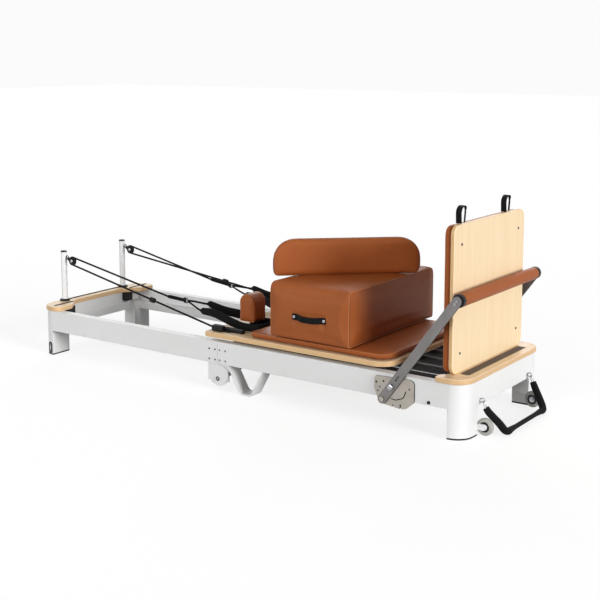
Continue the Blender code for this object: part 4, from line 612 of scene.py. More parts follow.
print("looks")
looks = {
    "white": paint("white powder coat", "ececec", "e6e6e5"),
    "leather": hide("cognac hide"),
    "leatherBar": hide("cognac hide on the bar", grain=800.0),
    # the welts are lighter than the hide: a real welt with a painted highlight along its rolled top
    "welt": hide("cognac welt", "b86f3f", "cb8f5e", "98542a", 900.0),
    "piping": hide("dark piping", "69351a", "86492a", "4c2410", 900.0),
    "mapleFlat": timber("maple across", (0, 0, 90), "Z", "ecd2ac", "dcb588", "e0bc8e"),
    "mapleLong": timber("maple lengthways", (0, 0, 0), "Z", "ecd2ac", "dcb588", "e6c290"),
    "mapleUp": timber("maple upright", (0, 90, 0), "X", "f3dcb6", "eac99a", "dfb884"),
    "blackSteel": paint("black coated steel", "131314", "0d0d0e", 0.46, 0.00005, "3a3a3a"),
    "blackPlastic": dull("black moulded plastic", "101011", "0a0a0b", 0.46, 420.0, specular=0.2),
    "blackSatin": dull("black satin cap", "151516", "0e0e0f", 0.38, 260.0, 0.00004, 0.25),
    "gap": dull("shadow gap", "0c0a09", "070606", 0.9),
    "spring": metal("spring steel", "1c1c1e", "121213", 0.46, metallic=0.2),
    "bracket": metal("brushed bracket plate", "b1aaa1", "a09990", 0.42, (0.15, 1.0, 4.0), 0.35),
    "arm": metal("grey anodised arm", "7d7a79", "6f6c6b", 0.46, (1.0, 1.0, 0.4), 0.35),
    "chrome": metal("polished chrome", "b4b5b8", "85868a", 0.20),
    "rubber": dull("sole rubber", "1d1d1d", "141414", 0.75, 500.0, 0.0002),
    "tyre": dull("grey tyre", "b2b1ac", "a3a29d", 0.62, 500.0, 0.0001),
    "roller": dull("grey roller", "8a8c8e", "7a7c7e", 0.50, 400.0),
    "grip": dull("grip strip rubber", "66574a", "574a3e", 0.72, 700.0, 0.0002),
    "rope": woven("braided rope", "060606", "19191a", 0.0030, 0.0042, 0.9),
    "webbing": woven("black webbing", "060606", "171718", 0.0016, 0.0011),
    "padWeb": woven("padded webbing", "070707", "161617", 0.0024, 0.0018, 0.5),
    "thread": woven("black thread", "121212", "303030", 0.0008, 0.0009, 0.6),
}

record = frame["record"]
nodeBody = {node: body for body, nodes in record["behaviour"]["bodies"].items() for node in nodes}
nodeSlot = {row["node"]: row["material_slot"] for row in record["subparts"]}


def place(name, mesh, look, body, slot, *replaced):
    # names a finished mesh, gives it its looks, and lets it ride on a body
    mesh.name = name
    obj = linked(name, mesh)
    mesh.materials.clear()
    for item in look if isinstance(look, list) else [look]:
        mesh.materials.append(looks[item])
    if body:
        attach(obj, body)
    if replaced:
        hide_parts(*replaced)
    return obj


def solidCopy(node):
    # a CAD node's triangles merged into one closed body
    body = bmesh.new()
    body.from_mesh(frame["nodes"][node].data)
    bmesh.ops.remove_doubles(body, verts=body.verts, dist=0.00002)
    return body


def carryOver(node, name, look, accents=()):
    # a merged copy of a node whose faces take other looks where a test says so
    body = solidCopy(node)
    for face in body.faces:
        face.material_index = 0
        for index, (test, accent) in enumerate(accents):
            if test(face.calc_center_median(), face.normal):
                face.material_index = index + 1
    chosen = [face.material_index for face in body.faces]
    mesh = meshFrom(body)
    used = [look] + [accent for test, accent in accents]
    made = place(name, mesh, used, nodeBody[node], nodeSlot[node], node)
    for polygon, index in zip(mesh.polygons, chosen):
        polygon.material_index = index
    # flat faces keep their own light where they run into rounded corners
    even = made.modifiers.new("even light", "WEIGHTED_NORMAL")
    even.keep_sharp = True


print("ropes")
# each rope runs from its hand strap over the sheave to the cleat on the carriage;
# a strap and its buckle are given by X and Z, and the loop begins at loopX
ropes = {
    "diameter": 0.0088,
    "cleat": (-0.1503, 0.305, 0.268),
    "squash": {"axis": (1, 0, 0), "anchor": (-1.114, 0, 0), "keep": 0.119},
}
stopper = {"x": -0.53875, "half": 0.0135, "radius": 0.0118, "neck": 0.0046}
handStraps = {
    "near": {
        "strap": (-0.50175, 0.342),
        "buckle": (-0.39275, 0.336),
        "loopX": -0.28575,
        "squash": {"axis": (1, 0, 0), "anchor": (-1.464, 0, 0), "keep": 0.439},
    },
    "far": {
        "strap": (-0.58275, 0.346),
        "buckle": (-0.45575, 0.330),
        "loopX": -0.33175,
        "squash": {"axis": (1, 0, 0), "anchor": (-1.359, 0, 0), "keep": 0.397},
    },
}


def tangentPoint(away, upper):
    # where a straight rope from a point meets the circle that it follows on the sheave
    toCentre = Vector(layout["sheave"]) - Vector(away)
    turn = math.asin(layout["sheaveRadius"] / toCentre.length)
    reach = math.sqrt(toCentre.length**2 - layout["sheaveRadius"] ** 2)
    angle = math.atan2(toCentre.y, toCentre.x) + (-turn if upper else turn)
    return Vector(away) + Vector((math.cos(angle), math.sin(angle))) * reach


def ropeRoute(end, side):
    (strapX, strapZ), (cleatX, cleatY, cleatZ) = handStraps[end]["strap"], ropes["cleat"]
    y, radius = side * layout["ropeY"], layout["sheaveRadius"]
    upper, lower = tangentPoint((strapX, strapZ), True), tangentPoint((cleatX, cleatZ), False)
    centre = Vector(layout["sheave"])
    first = math.atan2(upper.y - centre.y, upper.x - centre.x)
    last = math.atan2(lower.y - centre.y, lower.x - centre.x)
    if last < first:
        last += fullTurn
    start = Vector((cleatX, side * cleatY, cleatZ))
    leave = Vector((lower.x, y, lower.y))
    route = [start.lerp(leave, step / 14) for step in range(14)]
    for step in range(13):
        angle = last + (first - last) * step / 12
        x, z = centre.x + radius * math.cos(angle), centre.y + radius * math.sin(angle)
        route.append(Vector((x, y, z)))
    arrive, strapEnd = route[-1], Vector((strapX, y, strapZ))
    route += [arrive.lerp(strapEnd, step / 9) for step in range(1, 10)]
    return route, start, leave


for end, side in sides.items():
    route, start, leave = ropeRoute(end, side)
    length = sum((b - a).length for a, b in zip(route, route[1:]))
    cord = wire(route, ropes["diameter"] / 2)
    rope = place("tow_rope_" + end, cord, "rope", "head_frame", "rope_black", "rope_" + end)
    middle = start.lerp(leave, (stopper["x"] - start.x) / (leave.x - start.x))
    half, thick = stopper["half"], stopper["radius"]
    profile = [
        (0.0, -half),
        (stopper["neck"], -half),
        (thick - 0.0006, -half + 0.0015),
        (thick, -half + 0.004),
        (thick, -0.003),
        (thick - 0.0012, -0.002),
    ]
    turned = lathe(mirrored(profile), middle, (leave - start).normalized(), 24)
    toggle = place("rope_stopper_" + end, turned, "blackPlastic", "head_frame", "rope_black")
    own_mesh(toggle)
    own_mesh(rope)

print("hand straps")
leadPlan = [
    (0.0006, 0.0090, 0.0066),
    (0.006, 0.0130, 0.0060),
    (0.016, 0.0160, 0.0050),
    (0.030, 0.0160, 0.0042),
    (0.060, 0.0160, 0.0036),
]
bucklePlan = {"half": 0.0110, "corner": 0.004, "wire": 0.0021, "wrap": 0.0075, "wrapHalf": 0.0085}
# the loop goes round the shoulder rest: headX and farX are its turns before and behind it
loopPlan = {"half": 0.0145, "headX": -0.07875, "farX": 0.05075, "sideY": 0.0655, "z": 0.2735}
for end, side in sides.items():
    plan = handStraps[end]
    y, restY = side * layout["ropeY"], side * layout["restY"]
    strap = Vector((plan["strap"][0], y, plan["strap"][1]))
    buckle = Vector((plan["buckle"][0], y, plan["buckle"][1]))
    along = (buckle - strap).normalized()
    upright = Vector((0, 1, 0)).cross(along).normalized() * -1
    # the lead: webbing sewn round the rope's end and through the buckle
    run = (buckle - strap).length
    lasts = [(run - 0.006, 0.0160, 0.0036), (run + 0.002, 0.0160, 0.0050)]
    stations = [(strap + along * at, upright, wide, thick) for at, wide, thick in leadPlan + lasts]
    webbing = sweep(strapOutline, stations)
    lead = place("strap_lead_" + end, webbing, "webbing", "head_frame", "webbing_black")
    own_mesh(lead)
    # the buckle: a frame with a bar across it and the webbing wrapped round the bar
    half, thick, wrap = bucklePlan["half"], bucklePlan["wire"], bucklePlan["wrap"]
    corners = roundedBox((-half, -half), (half, half), bucklePlan["corner"], 4)
    clasp = [
        wire([buckle + along * u + upright * v for u, v in corners], thick, closed=True),
        wire([buckle + upright * -half, buckle + upright * half], thick),
    ]
    ends = [buckle + upright * bucklePlan["wrapHalf"] * way for way in (-1, 1)]
    clasp.append(sweep(padOutline, [(at, along, wrap, wrap) for at in ends]))
    made = place("strap_buckle_" + end, joined(clasp), "blackSatin", "head_frame", "padded_webbing")
    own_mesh(made)
    # the loop: one closed band, thin by the buckle and padded where the hand or foot goes
    loopX, half, restX = plan["loopX"], loopPlan["half"], layout["restX"][0]
    headX, farX, sideY, z = [loopPlan[key] for key in ("headX", "farX", "sideY", "z")]
    marks = [
        (buckle.x + 0.010, 0.0, buckle.z - 0.001, 0.0100, 0.0035),
        (buckle.x + 0.034, 0.008, buckle.z - 0.005, 0.0090, 0.0030),
        (loopX - 0.010, 0.024, 0.3155, 0.0095, 0.0032),
        (loopX + 0.004, 0.0260, 0.3150, 0.0300, 0.0066),
        ((loopX * 2 + restX) / 3, 0.036, 0.3040, half * 2.7, 0.0076),
        ((loopX + restX * 2) / 3, 0.052, 0.2910, half * 2.8, 0.0078),
        (headX - 0.012, sideY - 0.002, z + 0.006, half * 2.7, 0.0076),
        (headX + 0.040, sideY, z, 0.0300, 0.0075),
        (farX - 0.022, sideY, z, 0.0300, 0.0075),
        (farX - 0.007, sideY - 0.006, z, 0.0300, 0.0075),
        (farX, sideY - 0.022, z, 0.0300, 0.0075),
        (farX, 0.0, z, 0.0300, 0.0075),
    ]
    ring = []
    for way, row in ((-1, marks), (1, list(reversed(marks[1:-1])))):
        for x, out, high, wide, thick in row:
            share = min(max((x - buckle.x) / (headX - buckle.x), 0.0), 1.0)
            # the two runs to the buckle lie one above the other
            apart = 0.0 if x > loopX + 0.01 else way * 0.42 * out
            across = restY + (y - restY) * (1 - share) + way * out
            ring.append((x, across, high + apart, wide, thick))
    band = sweep(padOutline, banded(ring, 5, up, closed=True), closed=True)
    name = "hand_loop_" + end
    loop = place(name, band, "padWeb", "head_frame", "padded_webbing", "hand_strap_" + end)
    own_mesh(loop)

print("posts and pulleys")
postPlan = {
    "inner": 0.0146,
    "outer": 0.0155,
    "base": 0.4805,
    "top": 0.4875,
    "collar": (0.2386, 0.2483),
}
axlePlan = [(0.0, -0.0004), (0.0076, -0.0004), (0.0076, 0.0006), (0.0064, 0.0013), (0.0, 0.0016)]
sheavePlan = {"outer": 0.02125, "root": 0.0144, "half": 0.0054, "bore": 0.0033}
for end, side in sides.items():
    x, y = layout["post"], side * layout["ropeY"]
    sheaveX, sheaveZ = layout["sheave"]
    inner, outer, base, top, collar = postPlan.values()

    def onCollar(at, normal):
        return collar[0] < at.z < collar[1] and math.hypot(at.x - x, at.y - y) > inner

    def onEye(at, normal):
        return at.x - x > inner and at.z > 0.30

    accents = [(onCollar, "blackSatin"), (onEye, "blackPlastic")]
    carryOver("post_" + end, "tow_post_" + end, "white", accents)
    cap = [
        (inner, base),
        (outer, base),
        (outer, top - 0.004),
        (outer - 0.0012, top - 0.0016),
        (outer - 0.004, top - 0.0003),
        (0.0, top),
        (0.0, top - 0.002),
        (inner, top - 0.003),
    ]
    turned = lathe(cap, (x, y, 0.0), up, 32)
    place("post_cap_" + end, turned, "blackSatin", "head_frame", "post_white")
    block = "pulley_block_" + end
    carryOver(block, "rope_block_" + end, "blackPlastic")
    # a bright axle head on each cheek
    heads = [
        lathe(axlePlan, (sheaveX, corner.y, sheaveZ), (0, way, 0), 24)
        for corner, way in zip(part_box(block), (-1, 1))
    ]
    place("rope_block_axle_" + end, joined(heads), "chrome", block, "eye_chrome")
    outer, root, half, bore = sheavePlan.values()
    profile = [
        (bore, half),
        (0.0070, half),
        (0.0076, half - 0.0010),
        (0.0125, half - 0.0010),
        (0.0133, half),
        (outer - 0.0006, half),
        (outer, half - 0.0005),
        (0.0188, 0.0042),
        (0.0160, 0.0028),
    ]
    turned = lathe(mirrored(profile, (root, 0.0)), (sheaveX, y, sheaveZ), (0, 1, 0), 40)
    sheave = "pulley_sheave_" + end
    place("rope_wheel_" + end, turned, "blackPlastic", sheave, "sheave_black", sheave)

print("springs")
springPlan = {
    "from": 0.4805,
    "to": 0.9680,
    "z": 0.190,
    "hook": 0.016,
    "coil": 0.0154,
    "wire": 0.0014,
    "turns": 140,
    "points": 10,
    "count": 5,
    "pitch": 0.110,
}
low, high, z, hook = [springPlan[key] for key in ("from", "to", "z", "hook")]
coilLow, coilHigh = low + 0.026, high - 0.026
springRoute = [Vector((low, 0, z)), Vector((low + hook, 0, z))]
steps = springPlan["turns"] * springPlan["points"]
for step in range(steps + 1):
    angle = fullTurn * step / springPlan["points"]
    # the last four turns close in towards the hooks
    share = min(step, steps - step) / (springPlan["points"] * 4)
    radius = springPlan["coil"] * (0.45 + 0.55 * min(share, 1.0))
    x = coilLow + (coilHigh - coilLow) * step / steps
    springRoute.append(Vector((x, radius * math.cos(angle), z + radius * math.sin(angle))))
springRoute += [Vector((high - hook, 0, z)), Vector((high, 0, z))]
coilMesh = wire(springRoute, springPlan["wire"], sides=6)
for index in range(springPlan["count"]):
    y, number = springPlan["pitch"] * (index - 2), str(index + 1)
    copy = coilMesh.copy()
    copy.transform(Matrix.Translation((0, y, 0)))
    name = "coil_spring_" + number
    spring = place(name, copy, "spring", None, "spring_steel", "spring_" + number)
    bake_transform(spring)

print("wheels, knobs and eyes")
wheelPlan = {
    "x": 1.11825,
    "y": 0.2182,
    "z": 0.036,
    "radius": 0.034,
    "half": 0.010,
    "bore": 0.0043,
    "hub": 0.0125,
    "disc": 0.0205,
}
for end, side in sides.items():
    x, y, z, radius, half, bore, hub, disc = wheelPlan.values()
    profile = [
        (bore, half - 0.001),
        (0.0095, half - 0.001),
        (0.0105, half),
        (hub - 0.0004, half),
        (hub, half - 0.0024),
        (disc - 0.001, half - 0.0024),
        (disc, half - 0.0004),
        (radius - 0.0060, half),
        (radius - 0.0030, half - 0.0010),
        (radius - 0.0008, half - 0.0035),
        (radius, half - 0.0070),
    ]
    mesh = lathe(mirrored(profile), (x, side * y, z), (0, 1, 0), 56)
    wheel, used = "transport_wheel_" + end, ["tyre", "blackPlastic", "chrome"]
    place("roll_wheel_" + end, mesh, used, wheel, "tyre_grey", wheel)
    for polygon in mesh.polygons:
        out = math.hypot(polygon.center.x - x, polygon.center.z - z)
        polygon.material_index = 2 if out < hub else 1 if out < disc else 0

eyePlan = {"x": 1.10325, "y": 0.215, "z": 0.137, "ring": 0.0085, "wire": 0.0022}
shank = [
    (0.0, -0.006),
    (0.0030, -0.006),
    (0.0030, 0.0),
    (0.0068, 0.0001),
    (0.0068, 0.0012),
    (0.0036, 0.0016),
    (0.0028, 0.0042),
    (0.0, 0.0046),
]
for end, side in sides.items():
    centre = Vector((eyePlan["x"], side * eyePlan["y"], eyePlan["z"]))
    route = [centre + Vector((u, 0, v)) * eyePlan["ring"] for u, v in circle(28)]
    ring = wire(route, eyePlan["wire"], closed=True, sides=12)
    stalk = lathe(shank, (layout["footEnd"], centre.y, eyePlan["z"]), (1, 0, 0), 24)
    eye = joined([ring, stalk])
    place("screw_eye_" + end, eye, "chrome", "foot_frame", "eye_chrome", "eye_bolt_" + end)

knobPlan = {"x": 0.7802, "z": 0.1690, "face": 0.3552, "length": 0.014, "radius": 0.0125}
reach, length = knobPlan["radius"], knobPlan["length"]
knobProfile = [
    (0.0, -0.0084),
    (0.0040, -0.0084),
    (0.0040, 0.0),
    (0.0100, 0.0),
    (reach - 0.0010, 0.0014),
    (reach - 0.0016, 0.0030),
    (reach, 0.0046),
    (reach, length - 0.0040),
    (reach - 0.0012, length - 0.0016),
    (reach - 0.0050, length - 0.0002),
    (0.0034, length - 0.0002),
    (0.0026, length - 0.0014),
    (0.0, length - 0.0014),
]
for end, side in sides.items():
    centre = (knobPlan["x"], side * knobPlan["face"], knobPlan["z"])
    turned, pin = lathe(knobProfile, centre, (0, side, 0), 40), "lock_pin_" + end
    place("pull_knob_" + end, turned, "chrome", pin, "knob_chrome", pin)

print("footbar")
barPlan = {"half": 0.328, "radius": 0.0255, "bore": 0.0163, "edge": 0.0062, "crown": 0.0004}
seamPlan = {"angle": 215.0, "ridge": 0.0007, "thread": 0.0006, "stitches": 74, "pitch": 0.0083}
barX, barZ = layout["bar"]
half, radius, bore, edge, crown = barPlan.values()
profile = [
    (bore, half),
    (radius - 0.0052, half),
    (radius - 0.0022, half - 0.0009),
    (radius - 0.0006, half - 0.0030),
    (radius, half - edge),
]
middles = [
    (radius + crown * math.sin(math.pi * i / 8), half - edge - 2 * (half - edge) * i / 9)
    for i in range(1, 9)
]
turned = lathe(mirrored(profile, *middles), (barX, 0, barZ), (0, 1, 0), 56)
grip = place("bar_grip", turned, "leatherBar", "footbar", "leather_grip", "footbar_sleeve")
# the seam of the grip lies at its back, under the bar
angle = math.radians(seamPlan["angle"])
seamAt = Vector((math.cos(angle), 0, math.sin(angle)))
places = [Vector((barX, y, barZ)) for y in (-half + 0.008, 0.0, half - 0.008)]
stitches = [wire([at + seamAt * (radius + 0.0003) for at in places], seamPlan["ridge"], sides=6)]
for index in range(seamPlan["stitches"]):
    y = -half + 0.014 + index * seamPlan["pitch"]
    start = Vector((barX, y, barZ)) + seamAt * (radius + 0.0006)
    stitches.append(wire([start, start + Vector((0, 0.0052, 0))], seamPlan["thread"], sides=6))
place("bar_grip_seam", joined(stitches), "thread", "footbar", "leather_grip")
tubeEnds = (lambda at, normal: abs(at.y) > 0.3475, "chrome")
carryOver("footbar_tube", "bar_tube", "blackSatin", [tubeEnds])

# black collars close the sleeve against the arms
collar = [
    (0.0166, 0.3288),
    (0.0250, 0.3288),
    (0.0259, 0.3296),
    (0.0259, 0.3442),
    (0.0250, 0.3452),
    (0.0236, 0.3452),
    (0.0236, 0.3440),
    (0.0166, 0.3440),
]
for end, side in sides.items():
    turned = lathe(collar, (barX, 0, barZ), (0, side, 0), 48)
    place("bar_collar_" + end, turned, "blackSatin", "footbar", "leather_grip")

print("pull handle and latch")
handlePlan = {"low": 0.0165, "corner": (0.0955, 0.170), "tilt": 62.0}
linkPlan = {"length": 0.020, "half": 0.0065, "wire": 0.0019}
# the links hang in the eyes, and the handle begins at their lower ends
sag = eyePlan["ring"] * math.cos(math.pi / 8) - eyePlan["wire"] - linkPlan["wire"] - 0.0004
tilt = math.radians(handlePlan["tilt"])
reach = sag + linkPlan["length"] + 2 * linkPlan["half"]
startX = eyePlan["x"] + reach * math.cos(tilt)
startZ = eyePlan["z"] - reach * math.sin(tilt)
cornerX = layout["footEnd"] + handlePlan["corner"][0]
cornerY, low = layout["halfWidth"] - handlePlan["corner"][1], handlePlan["low"]
marks = [
    (startX - 0.002, eyePlan["y"], startZ + 0.004, 0.0128),
    (startX + 0.006, eyePlan["y"] - 0.004, startZ - 0.010, 0.0142),
    (cornerX - 0.024, cornerY + 0.018, low + 0.032, 0.0150),
    (cornerX - 0.006, cornerY + 0.006, low + 0.006, 0.0150),
    (cornerX, cornerY - 0.008, low, 0.0146),
    (cornerX, cornerY - 0.040, low, 0.0116),
    (cornerX, cornerY - 0.080, low, 0.0094),
]
marks = [(x, -y, z, size) for x, y, z, size in marks] + list(reversed(marks))
marks = [(x, y, z, size * 2, size * 2) for x, y, z, size in marks]
tube = sweep([(0.5 * u, 0.5 * v) for u, v in circle(14)], banded(marks, 6, (1, 0, 0.9)))
handle = place("carry_strap", tube, "padWeb", "pull_handle", "padded_webbing", "pull_handle")
half, arc = linkPlan["half"], [math.pi * step / 8 - math.pi / 2 for step in range(9)]
outline = [(sag + half * (1 - math.cos(angle)), half * -math.sin(angle)) for angle in arc]
outline += [
    (sag + half * (1 + math.cos(angle)) + linkPlan["length"], half * math.sin(angle))
    for angle in arc
]
for end, side in sides.items():
    link = wire([(x, y, 0.0) for x, y in outline], linkPlan["wire"], closed=True)
    hang = Matrix.Translation((eyePlan["x"], side * eyePlan["y"], eyePlan["z"]))
    link.transform(hang @ Matrix.Rotation(tilt, 4, "Y"))
    place("strap_link_" + end, link, "chrome", "pull_handle", "eye_chrome")

latchPlan = {
    "x": -0.01475,
    "y": -0.24,
    "knobZ": 0.077,
    "rod": 0.0038,
    "radius": 0.0135,
    "length": 0.024,
}
x, y, knobZ, rodRadius, reach, length = latchPlan.values()
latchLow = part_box("fold_latch")[0]
knobX, front = latchLow.x + reach, latchLow.y
rodMarks = [
    (x, y, 0.129),
    (x, y, 0.112),
    (x - 0.006, y - 0.002, 0.108),
    (knobX + 0.010, y - 0.011, knobZ + 0.003),
    (knobX + 0.002, y - 0.016, knobZ),
    (knobX, y - 0.024, knobZ),
    (knobX, front + 0.010, knobZ),
]
rod = wire(smoothPath(rodMarks, 5), rodRadius, sides=12)
profile = [(0.0, 0.0), (0.0060, 0.0), (0.0062, 0.0016)]
profile += [(reach - 0.0030, 0.0020), (reach - 0.0012, 0.0040)]
for index in range(4):
    at, root = 0.0050 + index * 0.0036, reach - 0.0010
    profile += [(root, at), (reach, at + 0.0008), (reach, at + 0.0022), (root, at + 0.0030)]
profile += [(reach - 0.0008, length - 0.0035), (reach - 0.0030, length - 0.0008)]
profile += [(reach - 0.0070, length - 0.0002), (0.0, length - 0.0002)]
knob = lathe(profile, (knobX, front + length, knobZ), (0, -1, 0), 36)
place("latch_lever", joined([rod, knob]), "blackPlastic", "fold_latch", "latch_black", "fold_latch")

print("cushions")
# each solid is shrunk by smaller, remeshed and filled, and no point moves more than cap;
# rests and press give planes that it lies against: axis, side, limit and where;
# stretch gives axis, fixed place and factor, and corners turn radii into bigger ones
cushions = {
    "sitting_box": {
        "name": "box_upholstery",
        "voxel": 0.006,
        "smaller": 0.0008,
        "cap": 0.0034,
        "fill": 0.9,
        "rests": [(2, -1, 0.2829), (2, 1, 0.5227), (1, -1, -0.3505)],
        "press": [(1, -1, -0.3474, (0.30, -0.4, 0.365), (0.465, 0.0, 0.405))],
        "stretch": [(0, 0.58325, 1.018), (2, 0.2829, 0.9785)],
        "tucks": [(0.3175, 0.368), (0.4590, 0.368)],
    },
    "panel_cushion": {
        "name": "panel_upholstery",
        "voxel": 0.0045,
        "smaller": 0.0002,
        "cap": 0.0028,
        "fill": 0.85,
        "turn": 41.6,
        "pivot": (0.15225, -0.26, 0.5232),
        "rests": [(2, -1, 0.5180)],
        "passes": 5,
        "stretch": [(0, 0.46225, 1.022), (2, 0.6762, 1.055)],
        "corners": [
            (0.15225, 0.6762, 1, -1, 0.058, 0.088),
            (0.77225, 0.6762, -1, -1, 0.058, 0.088),
            (0.15225, 0.5232, 1, 1, 0.010, 0.016),
            (0.77225, 0.5232, -1, 1, 0.010, 0.026),
        ],
    },
    "carriage_cushion": {
        "name": "carriage_upholstery",
        "voxel": 0.0045,
        "smaller": 0.0,
        "cap": 0.0012,
        "fill": 0.85,
        "rests": [(2, -1, 0.2524), (2, 1, 0.2846)],
        "press": [(2, 1, 0.2823, (0.17, -0.36, 0.0), (0.60, 0.36, 1.0))],
        "stretch": [(1, 0.0, 1.033)],
    },
    "jump_board_pad": {
        "name": "jump_upholstery",
        "voxel": 0.006,
        "smaller": 0.0006,
        "cap": 0.0030,
        "fill": 0.85,
        "rests": [(0, 1, 1.00085), (2, -1, 0.2388), (2, 1, 0.8140)],
    },
}
for end in sides:
    cushions["shoulder_rest_" + end] = {
        "name": "rest_upholstery_" + end,
        "voxel": 0.0035,
        "smaller": 0.0006,
        "cap": 0.0024,
        "fill": 0.9,
        "stemTop": 0.2862,
        "rests": [(2, -1, 0.2861)],
    }
fillPlan = {"pressure": 4.0, "frames": 20}
tuckPlan = {"reach": 0.019, "depth": 0.0062, "front": -0.30}


def cutStem(body, height):
    # a shoulder rest's stem is hidden in its base, so only the pad above it is dressed
    cut = bmesh.ops.bisect_plane(
        body,
        geom=list(body.verts) + list(body.edges) + list(body.faces),
        dist=0.00001,
        plane_co=(0, 0, height),
        plane_no=(0, 0, -1),
        clear_outer=True,
    )
    rim = [edge for edge in edgesIn(cut["geom_cut"]) if len(edge.link_faces) == 1]
    bmesh.ops.contextual_create(body, geom=rim)


def rounder(at, x, z, wayX, wayZ, was, now):
    # draws a corner of an upright pad in from one radius to a bigger one
    out = Vector((now - (at.x - x) * wayX, now - (at.z - z) * wayZ))
    if min(out) <= 0.0:
        return
    along, step = out.normalized(), now - was
    reach = now / max(along)
    lean = (along.x + along.y) * step
    inside = lean**2 - 2 * step**2 + was**2
    if inside > 0.0 and (lean + math.sqrt(inside)) * min(along) >= step:
        reach = lean + math.sqrt(inside)
    out *= now / reach
    at.x, at.z = x + wayX * (now - out.x), z + wayZ * (now - out.y)


soft = {}
for node, plan in cushions.items():
    body = solidCopy(node)
    if "stemTop" in plan:
        cutStem(body, plan["stemTop"])
    if "turn" in plan:
        pivot = Matrix.Translation(plan["pivot"])
        turn = Matrix.Rotation(-math.radians(plan["turn"]), 4, "Z")
        plan["toPlain"] = pivot @ turn @ pivot.inverted()
        bmesh.ops.transform(body, matrix=plan["toPlain"], verts=body.verts)
    low = Vector([min(vert.co[axis] for vert in body.verts) for axis in range(3)])
    high = Vector([max(vert.co[axis] for vert in body.verts) for axis in range(3)])
    factors = [1 - 2 * plan["smaller"] / (high[axis] - low[axis]) for axis in range(3)]
    space = Matrix.Translation(-(low + high) / 2)
    bmesh.ops.scale(body, vec=factors, space=space, verts=body.verts)
    obj = place(plan["name"], meshFrom(body), "leather", None, nodeSlot[node])
    remesh = obj.modifiers.new("even skin", "REMESH")
    remesh.mode = "VOXEL"
    remesh.voxel_size = plan["voxel"]
    graph = bpy.context.evaluated_depsgraph_get()
    skin = bpy.data.meshes.new_from_object(obj.evaluated_get(graph))
    obj.modifiers.remove(remesh)
    obj.data = skin
    skin.name = plan["name"]
    plan["start"] = [vert.co.copy() for vert in skin.vertices]
    cloth = obj.modifiers.new("fill", "CLOTH")
    cloth.settings.use_pressure = True
    cloth.settings.uniform_pressure_force = fillPlan["pressure"]
    cloth.settings.effector_weights.gravity = 0.0
    cloth.collision_settings.use_collision = False
    cloth.point_cache.frame_start = 1
    cloth.point_cache.frame_end = fillPlan["frames"]
    soft[node] = obj

for step in range(fillPlan["frames"]):
    bpy.context.scene.frame_set(step + 1)
graph = bpy.context.evaluated_depsgraph_get()
for node, plan in cushions.items():
    obj = soft[node]
    filled = [vert.co.copy() for vert in obj.evaluated_get(graph).data.vertices]
    cap = plan["cap"]
    for vert, start, end in zip(obj.data.vertices, plan["start"], filled):
        motion = end - start
        if motion.length > 1e-7:
            vert.co = start + motion.normalized() * cap * math.tanh(motion.length / cap)
    obj.modifiers.remove(obj.modifiers["fill"])
    body = bmesh.new()
    body.from_mesh(obj.data)
    allAxes = {"use_axis_x": True, "use_axis_y": True, "use_axis_z": True}
    for step in range(plan.get("passes", 2)):
        bmesh.ops.smooth_vert(body, verts=body.verts, factor=0.5, **allAxes)
    for vert in body.verts:
        at = vert.co
        for axis, fixed, share in plan.get("stretch", []):
            at[axis] = fixed + (at[axis] - fixed) * share
        for x, z in plan.get("tucks", []):
            # the leather is drawn in just below each screw of the strap
            away = math.hypot(at.x - x, (at.z - z) * 0.75) / tuckPlan["reach"]
            if away < 1.0 and at.y < tuckPlan["front"]:
                at.y += tuckPlan["depth"] * (1 - away**2) ** 2
        for corner in plan.get("corners", []):
            rounder(at, *corner)
        for axis, way, limit in plan["rests"]:
            if (at[axis] - limit) * way > 0:
                at[axis] = limit
        for axis, way, limit, least, most in plan.get("press", []):
            inside = all(a <= b <= c for a, b, c in zip(least, at, most))
            if inside and (at[axis] - limit) * way > 0:
                at[axis] = limit
    if "turn" in plan:
        bmesh.ops.transform(body, matrix=plan["toPlain"].inverted(), verts=body.verts)
    body.to_mesh(obj.data)
    body.free()
    obj.data.shade_smooth()
    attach(obj, nodeBody[node])
    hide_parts(node)
bpy.context.scene.frame_set(1)


def seamOn(node, name, points, radius, lift, look="welt"):
    # a welt or a thread that follows a cushion's skin near a closed row of points
    body = bmesh.new()
    body.from_mesh(soft[node].data)
    tree = BVHTree.FromBMesh(body)
    body.free()
    found = [tree.find_nearest(point) for point in points]
    route = [hit[0] + hit[1] * lift for hit in found]
    # neighbours are evened out so that the voxels' steps don't show
    for step in range(3):
        after = route[1:] + route[:1]
        route = [(route[i - 1] + here * 2 + after[i]) / 4 for i, here in enumerate(route)]
    band = wire(route, radius, closed=True, sides=8)
    place(name, band, look, nodeBody[node], nodeSlot[node])


def densified(points, most=0.008):
    route = []
    for here, there in zip(points, points[1:] + points[:1]):
        here, there = Vector(here), Vector(there)
        count = max(int((there - here).length / most), 1)
        route += [here.lerp(there, i / count) for i in range(count)]
    return route


print("seams")
boxFaces = {"foot": (0.58325, 1), "head": (0.1812, -1)}
boxOutline = roundedBox((-0.348, 0.2828), (0.350, 0.5228), [0.010, 0.010, 0.034, 0.034], 6)
seamShadeOutline = roundedBox((-0.341, 0.2898), (0.343, 0.5158), [0.008, 0.008, 0.028, 0.028], 6)
for face, (x, way) in boxFaces.items():
    ring = densified([(x + way * 0.002, y, z) for y, z in boxOutline])
    seamOn("sitting_box", "box_welt_" + face, ring, 0.0023, 0.0002)
    # a thin dark cord just inside each welt is painted shade for the groove beside it
    ring = densified([(x + way * 0.004, y, z) for y, z in seamShadeOutline])
    seamOn("sitting_box", "box_seam_" + face, ring, 0.0009, 0.0001, "gap")

